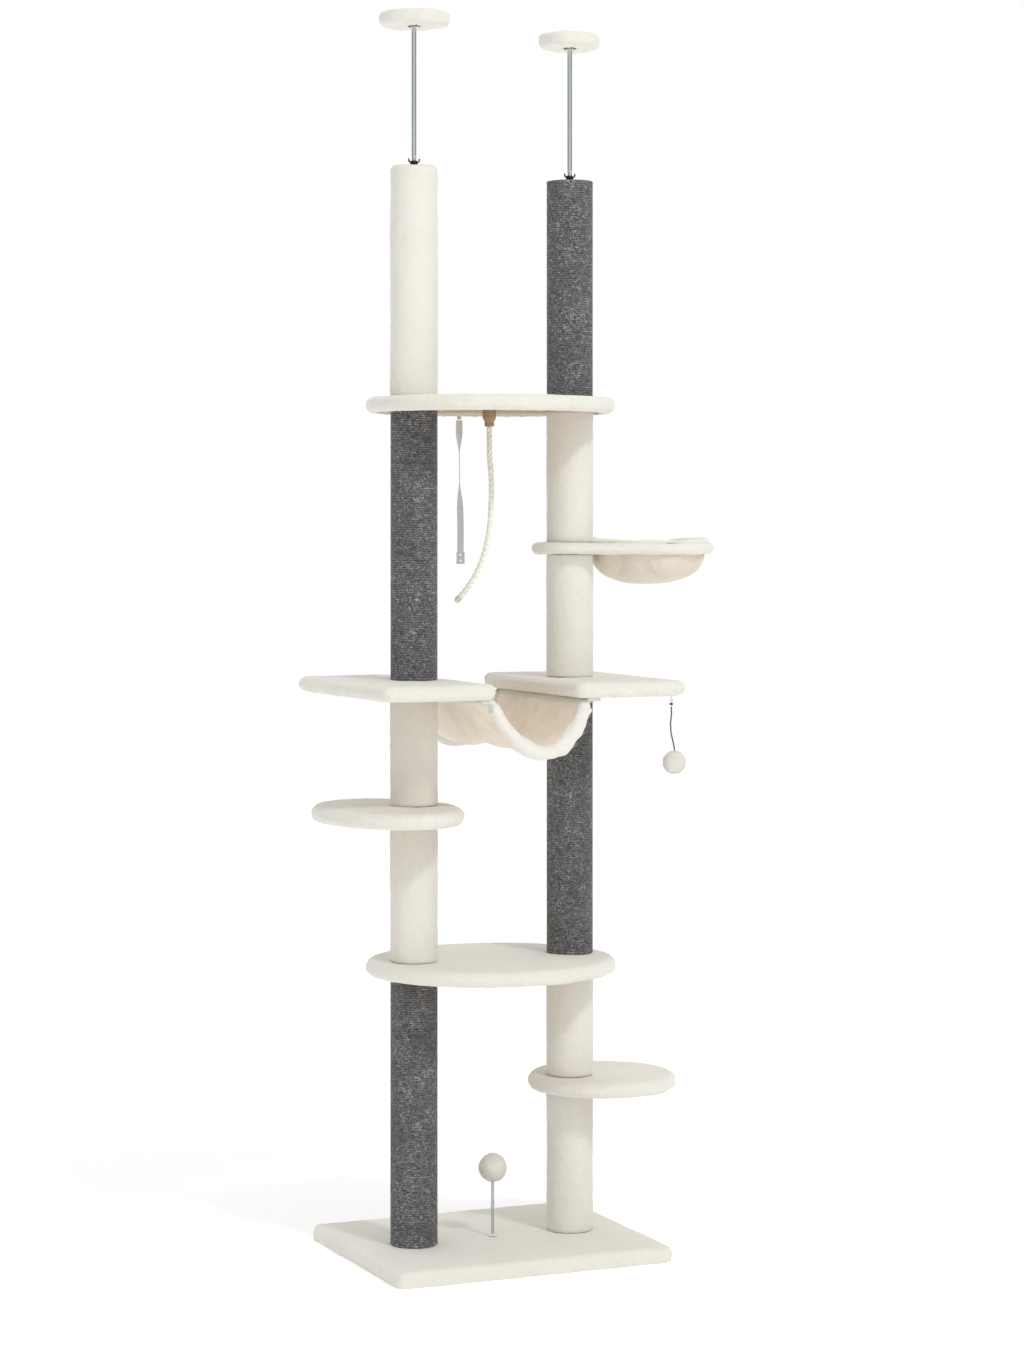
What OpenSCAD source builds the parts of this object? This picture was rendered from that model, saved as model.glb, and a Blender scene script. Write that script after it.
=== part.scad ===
// Floor-to-ceiling cat tree: two wrapped posts, eight platforms, a sling, a bowl and hanging toys.
// Origin: middle of the base's underside. +X runs along the base's long side, +Z is up.

/* [Base] */
// Length of the base along X
base_len = 600; // [540:5:720]
// Depth of the base along Y
base_depth = 500; // [430:5:600]
// Total height of the base with its plush
base_t = 32; // [28:1:40]
// Corner radius of the base
base_r = 18; // [8:1:40]

/* [Posts] */
// Distance between the two post axes
post_span = 348; // [320:1:400]
// How far the posts stand off the base's middle along Y
post_offset_y = -14; // [-30:1:30]
// Outside diameter of the cardboard tubes
tube_d = 86; // [76:1:96]
// Wall of the cardboard tubes
tube_wall = 4; // [3:0.5:6]
// Thickness of the rope or plush round a tube
wrap_t = 4.5; // [3:0.5:7]
// Height of the left post's top
left_top_z = 2220; // [2120:5:2320]
// Height of the right post's top
right_top_z = 2204; // [2120:4:2320]

/* [Platforms] */
// Thickness of the wooden boards
board_t = 18; // [14:1:22]
// Thickness of the plush over a board
plush_t = 7; // [5:1:9]
// Width of plush folded under a board's edge
fold_w = 26; // [15:1:40]
// Length of the two oval platforms along X
oval_len = 520; // [500:5:620]
// Depth of the two oval platforms along Y
oval_depth = 470; // [400:5:540]
// Middle of the oval platforms along X
oval_x = -4; // [-15:1:15]
// Height of the lower oval platform's underside
lower_oval_z = 574; // [480:2:680]
// Height of the upper oval platform's underside
upper_oval_z = 1721; // [1600:1:1840]
// Length of the left step along X
left_step_len = 290; // [240:5:340]
// Depth of the left step along Y
left_step_depth = 418; // [340:2:460]
// Distance from the left post's axis to the left step's middle
left_step_reach = 58; // [40:1:80]
// Height of the left step's underside
left_step_z = 891; // [820:1:960]
// Diameter of the round right step
right_step_d = 310; // [260:5:360]
// Distance from the right post's axis to the right step's middle
right_step_reach = 73; // [50:1:90]
// Height of the right step's underside
right_step_z = 321; // [260:1:400]

/* [Perches] */
// Length of a rectangular perch along X
perch_len = 246; // [200:2:270]
// Depth of a rectangular perch along Y
perch_depth = 502; // [420:2:600]
// Corner radius of a perch
perch_r = 24; // [12:1:40]
// Height of the perches' underside
perch_z = 1146; // [1080:1:1220]
// Distance from the left post's axis to the left perch's middle
left_perch_reach = 42; // [20:1:60]
// Distance from the right post's axis to the right perch's middle
right_perch_reach = 28; // [15:1:50]

/* [Sling] */
// Length of the sling along Y
sling_len = 474; // [400:2:494]
// How far the sling hangs below the perches
sling_sag = 112; // [80:2:140]
// Thickness of the sling's two layers of plush
sling_t = 8; // [6:1:12]
// Width of the hems screwed under the perches
sling_hem = 24; // [18:1:34]

/* [Bowl] */
// Height of the bowl ring's underside
bowl_z = 1431; // [1380:1:1500]
// Thickness of the bowl ring's board
bowl_board_t = 15; // [12:1:18]
// Thickness of the plush over the bowl ring
bowl_plush_t = 5; // [4:0.5:7]
// Gap between the right post and the bowl's lip
bowl_gap = 6.8; // [3:0.2:24]
// Outside radius of the bowl ring
bowl_ring_r = 139; // [130:1:160]
// Radius of the hole that the bowl hangs in
bowl_hole_r = 112; // [98:1:118]
// Radius of the ring's end behind the post
bowl_tail_r = 79; // [66:1:90]
// How far the bowl hangs below the ring
bowl_hang = 61; // [40:1:90]
// Thickness of the bowl's padded fabric
bowl_wall = 7; // [5:1:10]

/* [Ceiling tensioners] */
// Diameter of the threaded rods
rod_d = 10; // [8:1:12]
// Whole length of a rod
rod_len = 540; // [500:5:600]
// Rod seen between the left post and its ceiling pad
left_rod_out = 283; // [200:1:360]
// Rod seen between the right post and its ceiling pad
right_rod_out = 273; // [200:1:360]
// Long diameter of a ceiling pad
pad_len = 142; // [120:1:160]
// Short diameter of a ceiling pad
pad_width = 120; // [100:1:140]
// Height of a ceiling pad
pad_t = 32; // [28:1:40]
// Span of a wing nut across its wings
nut_span = 27; // [24:1:40]
// Height of a wing nut's round body
nut_h = 9; // [7:1:12]

/* [Toys] */
// Diameter of the ball on the spring
toy_ball_d = 58; // [40:1:70]
// Length of the toy's spring
toy_spring_len = 114; // [80:1:150]
// Outside diameter of the toy's spring
toy_spring_d = 7.5; // [6:0.5:10]
// Diameter of the hanging pompom
pompom_d = 48; // [35:1:60]
// Diameter of the pompom's cord
pompom_cord_d = 3; // [2.4:0.2:4]
// Diameter of the play rope
rope_d = 12; // [9:0.5:14]
// Largest diameter of the knob that holds the rope
knob_d = 28; // [22:1:34]
// Width of the wall strap
strap_w = 14; // [10:1:20]
// Thickness of the wall strap
strap_t = 2; // [1.5:0.5:3]

/* [Hidden] */

// Finish of the round shapes
fine = 96;
small = 40;
oval_steps = 72;
cord_sides = 8;
slight = 0.3;
touch = 0.01;
seam = 0.06;
plush_colour = [0.93, 0.91, 0.87];
sisal_colour = [0.33, 0.34, 0.36];
board_colour = [0.62, 0.47, 0.34];
tube_colour = [0.66, 0.54, 0.40];
steel_colour = [0.72, 0.74, 0.77];
dark_colour = [0.14, 0.14, 0.15];
rope_colour = [0.88, 0.86, 0.78];
strap_colour = [0.70, 0.70, 0.72];

// Clearances
stud_clear = 0.2;
rod_clear = 0.1;
seat_clear = 0.2;
sling_post_clear = 1.5;

// Where the posts stand
left_x = -post_span / 2;
right_x = post_span / 2;
post_y = post_offset_y;
post_d = tube_d + 2 * wrap_t;
tube_inner_d = tube_d - 2 * tube_wall;

// Fasteners inside the posts
stud_d = 8;
stud_reach = 26;
plug_t = 15;
bolt_head_d = 20;
bolt_head_t = 5;
bolt_head_in = 1;

// Platform heights
plate_t = board_t + 2 * plush_t;
bowl_plate_t = bowl_board_t + 2 * bowl_plush_t;
left_step_x = left_x - left_step_reach;
right_step_x = right_x + right_step_reach;
left_perch_x = left_x - left_perch_reach;
right_perch_x = right_x + right_perch_reach;
bowl_lip_w = 13;
bowl_reach = post_d / 2 + bowl_gap + bowl_lip_w + bowl_hole_r - slight;
bowl_x = right_x + bowl_reach;

// Lowest and highest end of each tube, from the floor up: a tube stands on the plush of the
// platform below it and meets the bare board of the one above it
LEFT_SPANS = [
  [base_t, lower_oval_z + plush_t],
  [lower_oval_z + plate_t, left_step_z + plush_t],
  [left_step_z + plate_t, perch_z + plush_t],
  [perch_z + plate_t, upper_oval_z + plush_t],
  [upper_oval_z + plate_t, left_top_z]
];
RIGHT_SPANS = [
  [base_t, right_step_z + plush_t],
  [right_step_z + plate_t, lower_oval_z + plush_t],
  [lower_oval_z + plate_t, perch_z + plush_t],
  [perch_z + plate_t, bowl_z],
  [bowl_z + bowl_plate_t, upper_oval_z + plush_t],
  [upper_oval_z + plate_t, right_top_z]
];

// Tensioner sizes
bush_d = 18;
bush_flange_d = 26;
bush_flange_t = 2;
guide_depth = 130;
nut_gap = 1;
nut_body_d = 16;
wing_t = 3;
wing_h = 12;
socket_d = 16;
socket_depth = 18;
flange_d = 48;
flange_t = 3;
pad_board_t = pad_t - 2 * plush_t;
left_pad_z = left_top_z + left_rod_out;
right_pad_z = right_top_z + right_rod_out;
LEFT_PAD_TURN = -20;
RIGHT_PAD_TURN = 48;

// Spring toy
toy_x = 0;
toy_foot_d = 16;
toy_foot_t = 2;
toy_gap = 1.4;
spring_wire = 1.2;
toy_ball_in = 6;
toy_ball_play = 0.4;
toy_nod_limit = 25;
toy_nod_room = 2.2;
toy_spring_z = base_t + toy_foot_t + toy_gap;

// Pompom on its cord, from the eye down; the points are in order of falling height
POMPOM_EYE = [298, -238];
eye_len = 12;
eye_d = 6;
pompom_knot_d = 9;
POMPOM_ROUTE = [
  [298, -238, -22], [298, -238, -30], [298, -238, -38], [297, -238, -47], [296, -238, -56],
  [296, -239, -65], [296, -240, -74], [297, -242, -83], [299, -243, -92], [301, -243, -101],
  [302, -243, -106], [302, -243, -111]
];

// Play rope, from its knob down
ROPE_AXIS = [-5, -8];
knob_h = 34;
knob_neck_d = 20;
knob_waist_share = 0.3;
knob_shoulder_share = 0.6;
rope_knot_d = 17;
ROPE_ROUTE = [
  [-5, -8, -46], [-5, -8, -70], [-4, -8, -95], [-2, -9, -120], [-1, -10, -145], [-1, -10, -170],
  [-2, -9, -195], [-3, -9, -220], [-6, -8, -245], [-10, -6, -270], [-16, -4, -294],
  [-25, 0, -318], [-35, 4, -339], [-47, 9, -359], [-59, 14, -375], [-68, 18, -386]
];

// Wall strap, from its screw down
STRAP_ROUTE = [
  [17, 205, -8], [17, 205, -30], [17, 205, -70], [18, 205, -110], [18, 205, -150],
  [19, 205, -190], [20, 205, -230], [20, 205, -260], [20, 205, -286]
];
strap_screw_d = 9;
strap_screw_h = 6;
strap_plate_w = 18;
strap_plate_h = 26;
strap_plate_t = 2;
strap_hole_d = 4.4;
strap_hole_pitch = 12;

// ---------------------------------------------------------------- outlines

// A rectangle with round corners, centred
module round_rect(len, depth, r) {
  square([len - 2 * r, depth], center = true);
  square([len, depth - 2 * r], center = true);
  for (sx = [-1, 1])
    for (sy = [-1, 1])
      translate([sx * (len / 2 - r), sy * (depth / 2 - r)])
        circle(r = r, $fn = small);
}

// An ellipse, centred
module oval(len, depth) {
  polygon([for (i = [0 : oval_steps - 1])
    let (a = 360 * i / oval_steps)
    [len / 2 * cos(a), depth / 2 * sin(a)]]);
}

// A large circle joined to a small one by straight sides
module paddle(reach, r_far, r_near) {
  lean = acos((r_near - r_far) / reach);
  near = r_near - seam;
  far = r_far - seam;
  circle(r = r_near, $fn = fine);
  translate([reach, 0])
    circle(r = r_far, $fn = fine);
  polygon([
    [near * cos(lean), near * sin(lean)],
    [reach + far * cos(lean), far * sin(lean)],
    [reach + far * cos(lean), -far * sin(lean)],
    [near * cos(lean), -near * sin(lean)]
  ]);
}

// ---------------------------------------------------------------- general shapes

// A straight tube standing at a post
module tube(x, low, high, d_out, d_in) {
  translate([x, post_y, low])
    difference() {
      cylinder(d = d_out, h = high - low, $fn = fine);
      translate([0, 0, -1])
        cylinder(d = d_in, h = high - low + 2, $fn = fine);
    }
}

// The rope or plush round one tube
module wrap(x, span, colour) {
  color(colour)
    tube(x, span[0], span[1], post_d, tube_d);
}

// A hole for a stud at a post
module stud_hole(x, low, high) {
  translate([x, post_y, low - 1])
    cylinder(d = stud_d + 2 * stud_clear, h = high - low + 2, $fn = small);
}

// The wooden board of a platform; its outline is the child, already shrunk by the plush
module platform_board(z, t, skin, posts) {
  color(board_colour)
    difference() {
      translate([0, 0, z + skin])
        linear_extrude(t)
          children();
      for (x = posts)
        stud_hole(x, z, z + t + 2 * skin);
    }
}

// The plush over a platform: children are its outline, the board's outline and the bare underside
module platform_cover(z, t, skin, posts) {
  color(plush_colour)
    difference() {
      translate([0, 0, z])
        linear_extrude(t + 2 * skin)
          children(0);
      translate([0, 0, z + skin])
        linear_extrude(t)
          children(1);
      translate([0, 0, z - 1])
        linear_extrude(skin + 1 + touch)
          union() {
            children(2);
            for (x = posts)
              translate([x, post_y])
                circle(d = post_d + 2 * touch, $fn = fine);
          }
      for (x = posts)
        stud_hole(x, z, z + t + 2 * skin);
    }
}

// A ring of points round a route point, square to the route
function along(route, i) =
  let (n = len(route) - 1)
  let (v = route[min(i + 1, n)] - route[max(i - 1, 0)])
  v / norm(v);
function ring(route, i, w, t, sides) =
  let (dir = along(route, i))
  let (u = cross(dir, [0, 1, 0]) / norm(cross(dir, [0, 1, 0])))
  let (v = cross(dir, u))
  [for (k = [0 : sides - 1])
    route[i] + u * w / 2 * cos(360 * (k + 0.5) / sides) + v * t / 2 * sin(360 * (k + 0.5) / sides)];

// A cord of width w and thickness t along a route
module cord(route, w, t, sides) {
  rings = len(route);
  points = [for (i = [0 : rings - 1]) each ring(route, i, w, t, sides)];
  walls = [for (i = [0 : rings - 2])
    for (k = [0 : sides - 1])
      [i * sides + k, (i + 1) * sides + k, (i + 1) * sides + (k + 1) % sides, i * sides + (k + 1) % sides]];
  first = [for (k = [0 : sides - 1]) k];
  last = [for (k = [sides - 1 : -1 : 0]) (rings - 1) * sides + k];
  polyhedron(points, concat([first], walls, [last]), convexity = 4);
}

// A route given below a height, as points above the floor
function hung(route, z) = [for (p = route) [p[0], p[1], z + p[2]]];

// ---------------------------------------------------------------- base

module base_outline(inset) {
  round_rect(base_len - 2 * inset, base_depth - 2 * inset, base_r - inset / 2);
}

module base_board() {
  color(board_colour)
    difference() {
      linear_extrude(base_t - plush_t)
        base_outline(plush_t);
      for (x = [left_x, right_x]) {
        stud_hole(x, 0, base_t);
        translate([x, post_y, -1])
          cylinder(d = bolt_head_d + 2, h = bolt_head_in + bolt_head_t + 1, $fn = small);
      }
    }
}

module base_cover() {
  color(plush_colour)
    difference() {
      linear_extrude(base_t)
        base_outline(0);
      translate([0, 0, -1])
        linear_extrude(base_t - plush_t + 1)
          base_outline(plush_t);
      for (x = [left_x, right_x])
        stud_hole(x, 0, base_t);
    }
}

module base_bolts() {
  color(steel_colour)
    for (x = [left_x, right_x])
      translate([x, post_y, bolt_head_in]) {
        cylinder(d = bolt_head_d, h = bolt_head_t, $fn = small);
        cylinder(d = stud_d, h = base_t - bolt_head_in + stud_reach, $fn = small);
      }
}

// ---------------------------------------------------------------- posts

module post_tubes(x, spans) {
  color(tube_colour)
    for (s = spans)
      tube(x, s[0], s[1], tube_d, tube_inner_d);
}

module left_post_tubes() {
  post_tubes(left_x, LEFT_SPANS);
}

module right_post_tubes() {
  post_tubes(right_x, RIGHT_SPANS);
}

// A wooden disc with a bore, closing a tube's end
module plug(x, low, bore) {
  translate([x, post_y, low])
    difference() {
      cylinder(d = tube_inner_d, h = plug_t, $fn = fine);
      translate([0, 0, -1])
        cylinder(d = bore, h = plug_t + 2, $fn = small);
    }
}

module end_plugs(x, spans) {
  top = spans[len(spans) - 1][1];
  for (i = [0 : len(spans) - 1]) {
    plug(x, spans[i][0], stud_d + 2 * stud_clear);
    if (i < len(spans) - 1)
      plug(x, spans[i][1] - plug_t, stud_d + 2 * stud_clear);
  }
  plug(x, top - plug_t, bush_d + 2 * seat_clear);
  plug(x, top - guide_depth - plug_t, bush_d + 2 * seat_clear);
}

module post_end_plugs() {
  color(board_colour) {
    end_plugs(left_x, LEFT_SPANS);
    end_plugs(right_x, RIGHT_SPANS);
  }
}

// A stud through each platform, from one tube's plug into the next
module studs(x, spans) {
  for (i = [1 : len(spans) - 1])
    translate([x, post_y, spans[i - 1][1] - stud_reach])
      cylinder(d = stud_d, h = spans[i][0] - spans[i - 1][1] + 2 * stud_reach, $fn = small);
}

module joining_studs() {
  color(steel_colour) {
    studs(left_x, LEFT_SPANS);
    studs(right_x, RIGHT_SPANS);
  }
}

module left_sisal_lower() { wrap(left_x, LEFT_SPANS[0], sisal_colour); }
module left_plush_lower() { wrap(left_x, LEFT_SPANS[1], plush_colour); }
module left_plush_middle() { wrap(left_x, LEFT_SPANS[2], plush_colour); }
module left_sisal_upper() { wrap(left_x, LEFT_SPANS[3], sisal_colour); }
module left_plush_top() { wrap(left_x, LEFT_SPANS[4], plush_colour); }
module right_plush_base() { wrap(right_x, RIGHT_SPANS[0], plush_colour); }
module right_plush_lower() { wrap(right_x, RIGHT_SPANS[1], plush_colour); }
module right_sisal_middle() { wrap(right_x, RIGHT_SPANS[2], sisal_colour); }
module right_plush_middle() { wrap(right_x, RIGHT_SPANS[3], plush_colour); }
module right_plush_upper() { wrap(right_x, RIGHT_SPANS[4], plush_colour); }
module right_sisal_top() { wrap(right_x, RIGHT_SPANS[5], sisal_colour); }

// ---------------------------------------------------------------- platforms

module oval_outline(inset) {
  translate([oval_x, post_y])
    oval(oval_len - 2 * inset, oval_depth - 2 * inset);
}

module oval_board(z) {
  platform_board(z, board_t, plush_t, [left_x, right_x])
    oval_outline(plush_t);
}

module oval_cover(z) {
  platform_cover(z, board_t, plush_t, [left_x, right_x]) {
    oval_outline(0);
    oval_outline(plush_t);
    oval_outline(fold_w);
  }
}

module lower_oval_board() { oval_board(lower_oval_z); }
module lower_oval_cover() { oval_cover(lower_oval_z); }
module upper_oval_board() { oval_board(upper_oval_z); }
module upper_oval_cover() { oval_cover(upper_oval_z); }

module left_step_outline(inset) {
  translate([left_step_x, post_y])
    oval(left_step_len - 2 * inset, left_step_depth - 2 * inset);
}

module left_step_board() {
  platform_board(left_step_z, board_t, plush_t, [left_x])
    left_step_outline(plush_t);
}

module left_step_cover() {
  platform_cover(left_step_z, board_t, plush_t, [left_x]) {
    left_step_outline(0);
    left_step_outline(plush_t);
    left_step_outline(fold_w);
  }
}

module right_step_outline(inset) {
  translate([right_step_x, post_y])
    circle(d = right_step_d - 2 * inset, $fn = fine);
}

module right_step_board() {
  platform_board(right_step_z, board_t, plush_t, [right_x])
    right_step_outline(plush_t);
}

module right_step_cover() {
  platform_cover(right_step_z, board_t, plush_t, [right_x]) {
    right_step_outline(0);
    right_step_outline(plush_t);
    right_step_outline(fold_w);
  }
}

module perch_outline(x, inset) {
  translate([x, post_y])
    round_rect(perch_len - 2 * inset, perch_depth - 2 * inset, perch_r - inset / 2);
}

module perch_board(x, post_x) {
  platform_board(perch_z, board_t, plush_t, [post_x])
    perch_outline(x, plush_t);
}

module perch_cover(x, post_x) {
  platform_cover(perch_z, board_t, plush_t, [post_x]) {
    perch_outline(x, 0);
    perch_outline(x, plush_t);
    perch_outline(x, fold_w);
  }
}

module left_perch_board() { perch_board(left_perch_x, left_x); }
module left_perch_cover() { perch_cover(left_perch_x, left_x); }
module right_perch_board() { perch_board(right_perch_x, right_x); }
module right_perch_cover() { perch_cover(right_perch_x, right_x); }

// ---------------------------------------------------------------- bowl

module bowl_outline(inset) {
  translate([right_x, post_y])
    paddle(bowl_reach, bowl_ring_r - inset, bowl_tail_r - inset);
}

module bowl_hole(grow) {
  translate([bowl_x, post_y])
    circle(r = bowl_hole_r + grow, $fn = fine);
}

module bowl_board() {
  platform_board(bowl_z, bowl_board_t, bowl_plush_t, [right_x])
    difference() {
      bowl_outline(bowl_plush_t);
      bowl_hole(bowl_plush_t);
    }
}

module bowl_cover() {
  color(plush_colour)
    difference() {
      translate([0, 0, bowl_z])
        linear_extrude(bowl_plate_t)
          difference() {
            bowl_outline(0);
            bowl_hole(0);
          }
      translate([0, 0, bowl_z + bowl_plush_t])
        linear_extrude(bowl_board_t)
          difference() {
            bowl_outline(bowl_plush_t);
            bowl_hole(bowl_plush_t);
          }
      stud_hole(right_x, bowl_z, bowl_z + bowl_plate_t);
    }
}

// The padded fabric bowl: a lip over the ring, a wall through the hole and a rounded floor
bowl_lip_t = 8;
bowl_floor_r = 46;
bowl_belly_in = 22;
bowl_shoulder_in = 6;
bowl_belly_share = 0.36;
bowl_shoulder_share = 0.8;
module bowl_basket() {
  top = bowl_z + bowl_plate_t;
  low = bowl_z - bowl_hang;
  out_r = bowl_hole_r - slight;
  belly_z = low + bowl_hang * bowl_belly_share;
  shoulder_z = low + bowl_hang * bowl_shoulder_share;
  color(plush_colour)
    translate([bowl_x, post_y, 0])
      rotate_extrude($fn = fine)
        polygon([
          [0, low],
          [bowl_floor_r, low],
          [out_r - bowl_belly_in, belly_z],
          [out_r - bowl_shoulder_in, shoulder_z],
          [out_r, bowl_z],
          [out_r, top + touch],
          [out_r + bowl_lip_w, top + touch],
          [out_r + bowl_lip_w, top + bowl_lip_t],
          [out_r - bowl_wall, top + bowl_lip_t],
          [out_r - bowl_wall, bowl_z],
          [out_r - bowl_shoulder_in - bowl_wall, shoulder_z],
          [out_r - bowl_belly_in - bowl_wall, belly_z + bowl_wall / 2],
          [bowl_floor_r, low + bowl_wall],
          [0, low + bowl_wall]
        ]);
}

// ---------------------------------------------------------------- sling

// The sling hangs in a smooth U from under one perch to under the other
sling_in_left = 5;
sling_in_right = 33;
sling_left = left_perch_x + perch_len / 2 - sling_in_left;
sling_right = right_perch_x - perch_len / 2 + sling_in_right;
sling_low_share = 0.52;
sling_low_x = sling_left + (sling_right - sling_left) * sling_low_share;
SLING_LEFT_CURVE = 2.0;
SLING_RIGHT_CURVE = 2.8;
sling_steps = 28;
sling_top_z = perch_z - sling_t / 2 - touch;

function sling_u(i) = -1 + 2 * i / sling_steps;
function sling_x(u) = u < 0
  ? sling_low_x + u * (sling_low_x - sling_left)
  : sling_low_x + u * (sling_right - sling_low_x);
function sling_z(u) = sling_top_z
  - (sling_sag - sling_t) * (1 - pow(abs(u), u < 0 ? SLING_LEFT_CURVE : SLING_RIGHT_CURVE));
SLING_MIDDLE = concat(
  [[sling_left - sling_hem, sling_top_z]],
  [for (i = [0 : sling_steps]) [sling_x(sling_u(i)), sling_z(sling_u(i))]],
  [[sling_right + sling_hem, sling_top_z]]
);
function sling_side(i, side) =
  let (n = len(SLING_MIDDLE) - 1)
  let (a = SLING_MIDDLE[max(i - 1, 0)])
  let (b = SLING_MIDDLE[min(i + 1, n)])
  let (dir = (i == 0 || i == n) ? [1, 0] : (b - a) / norm(b - a))
  SLING_MIDDLE[i] + side * sling_t / 2 * [-dir[1], dir[0]];

// Where the screws hold the sling's hems
hem_screw_d = 4;
hem_screw_head_d = 10;
hem_screw_head_t = 2;
hem_screw_end = 24;
hem_screw_from_post = 42;
HEM_SCREWS = [
  for (x = [sling_left - sling_hem / 2, sling_right + sling_hem / 2])
    for (side = [-1, 1])
      for (off = [sling_len / 2 - hem_screw_end, post_d / 2 + hem_screw_from_post])
        [x, post_y + side * off, perch_z - sling_t]
];

module hammock() {
  last = len(SLING_MIDDLE) - 1;
  color(plush_colour)
    difference() {
      translate([0, post_y + sling_len / 2, 0])
        rotate([90, 0, 0])
          linear_extrude(sling_len)
            polygon(concat(
              [for (i = [0 : last]) sling_side(i, 1)],
              [for (i = [last : -1 : 0]) sling_side(i, -1)]
            ));
      for (place = HEM_SCREWS)
        translate(place - [0, 0, 1])
          cylinder(d = hem_screw_d + 2 * seat_clear, h = sling_t + 2, $fn = small);
      // Notches in the hems round the posts
      for (x = [left_x, right_x])
        translate([x, post_y, perch_z - sling_sag])
          cylinder(d = post_d + 2 * sling_post_clear, h = sling_sag + 1, $fn = fine);
    }
}

// Screws through the sling's hems, up to the perches
module hammock_screws() {
  color(steel_colour)
    for (place = HEM_SCREWS)
      translate(place - [0, 0, hem_screw_head_t + touch]) {
        cylinder(d = hem_screw_head_d, h = hem_screw_head_t, $fn = small);
        cylinder(d = hem_screw_d, h = hem_screw_head_t + sling_t - touch, $fn = small);
      }
}

// ---------------------------------------------------------------- ceiling tensioners

// A steel rod, from its socket in the ceiling pad down into the post
module rod(x, pad_z) {
  color(steel_colour)
    translate([x, post_y, pad_z + socket_depth - rod_len - slight])
      cylinder(d = rod_d, h = rod_len, $fn = small);
}

module left_rod() { rod(left_x, left_pad_z); }
module right_rod() { rod(right_x, right_pad_z); }

// A wing nut standing on a post's top bush
module wing_nut(x, top) {
  color(dark_colour)
    translate([x, post_y, top + bush_flange_t + nut_gap])
      difference() {
        union() {
          cylinder(d = nut_body_d, h = nut_h, $fn = small);
          for (side = [0, 180])
            rotate([0, 0, side])
              translate([nut_body_d / 2 - 2, -wing_t / 2, nut_h / 3])
                cube([nut_span / 2 - nut_body_d / 2 + 2, wing_t, wing_h]);
        }
        translate([0, 0, -1])
          cylinder(d = rod_d + 2 * rod_clear, h = nut_h + wing_h + 2, $fn = small);
      }
}

module left_wing_nut() { wing_nut(left_x, left_top_z); }
module right_wing_nut() { wing_nut(right_x, right_top_z); }

// A steel bush in a plug, with or without a flange on top
module bush(x, low, flanged) {
  translate([x, post_y, low])
    difference() {
      union() {
        cylinder(d = bush_d, h = plug_t, $fn = small);
        if (flanged)
          translate([0, 0, plug_t])
            cylinder(d = bush_flange_d, h = bush_flange_t, $fn = small);
      }
      translate([0, 0, -1])
        cylinder(d = rod_d + 2 * rod_clear, h = plug_t + bush_flange_t + 2, $fn = small);
    }
}

module guide_bushes() {
  color(steel_colour)
    for (post = [[left_x, left_top_z], [right_x, right_top_z]]) {
      bush(post[0], post[1] - plug_t, true);
      bush(post[0], post[1] - guide_depth - plug_t, false);
    }
}

module pad_outline(turn, inset) {
  rotate(turn)
    oval(pad_len - 2 * inset, pad_width - 2 * inset);
}

module pad_board(x, z, turn) {
  color(board_colour)
    translate([x, post_y, z + plush_t])
      difference() {
        linear_extrude(pad_board_t)
          pad_outline(turn, plush_t);
        translate([0, 0, -1])
          cylinder(d = flange_d + 2 * seat_clear, h = flange_t + 1, $fn = fine);
        translate([0, 0, -1])
          cylinder(d = socket_d + 2 * seat_clear, h = pad_board_t + 2, $fn = small);
      }
}

module pad_cover(x, z, turn) {
  color(plush_colour)
    translate([x, post_y, z])
      difference() {
        linear_extrude(pad_t)
          pad_outline(turn, 0);
        translate([0, 0, plush_t])
          linear_extrude(pad_board_t)
            pad_outline(turn, plush_t);
        translate([0, 0, -1])
          cylinder(d = socket_d + 2 * seat_clear, h = plush_t + 1 + touch, $fn = small);
      }
}

module pad_flange(x, z) {
  color(steel_colour)
    translate([x, post_y, z])
      difference() {
        union() {
          cylinder(d = socket_d, h = socket_depth + 2, $fn = small);
          translate([0, 0, plush_t])
            cylinder(d = flange_d, h = flange_t, $fn = fine);
        }
        translate([0, 0, -1])
          cylinder(d = rod_d + 2 * rod_clear, h = socket_depth + 1, $fn = small);
      }
}

module left_pad_board() { pad_board(left_x, left_pad_z, LEFT_PAD_TURN); }
module left_pad_cover() { pad_cover(left_x, left_pad_z, LEFT_PAD_TURN); }
module left_pad_flange() { pad_flange(left_x, left_pad_z); }
module right_pad_board() { pad_board(right_x, right_pad_z, RIGHT_PAD_TURN); }
module right_pad_cover() { pad_cover(right_x, right_pad_z, RIGHT_PAD_TURN); }
module right_pad_flange() { pad_flange(right_x, right_pad_z); }

// ---------------------------------------------------------------- toys

module toy_foot() {
  color(steel_colour)
    translate([toy_x, post_y, base_t])
      cylinder(d = toy_foot_d, h = toy_foot_t, $fn = small);
}

module toy_spring() {
  color(steel_colour)
    translate([toy_x, post_y, toy_spring_z])
      difference() {
        cylinder(d = toy_spring_d, h = toy_spring_len, $fn = small);
        translate([0, 0, -1])
          cylinder(d = toy_spring_d - 2 * spring_wire, h = toy_spring_len + 2, $fn = small);
      }
}

// The ball, with a flared hole in which it nods on the spring's end
module toy_ball() {
  hole_len = toy_ball_in + toy_nod_room + 1;
  hole_d = toy_spring_d + 2 * toy_ball_play;
  color(plush_colour)
    translate([toy_x, post_y, toy_spring_z + toy_spring_len])
      difference() {
        translate([0, 0, toy_ball_d / 2 + slight - toy_ball_in])
          sphere(d = toy_ball_d, $fn = fine);
        translate([0, 0, toy_nod_room - hole_len])
          cylinder(d1 = hole_d + 2 * hole_len * tan(toy_nod_limit), d2 = hole_d, h = hole_len, $fn = small);
      }
}

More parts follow.
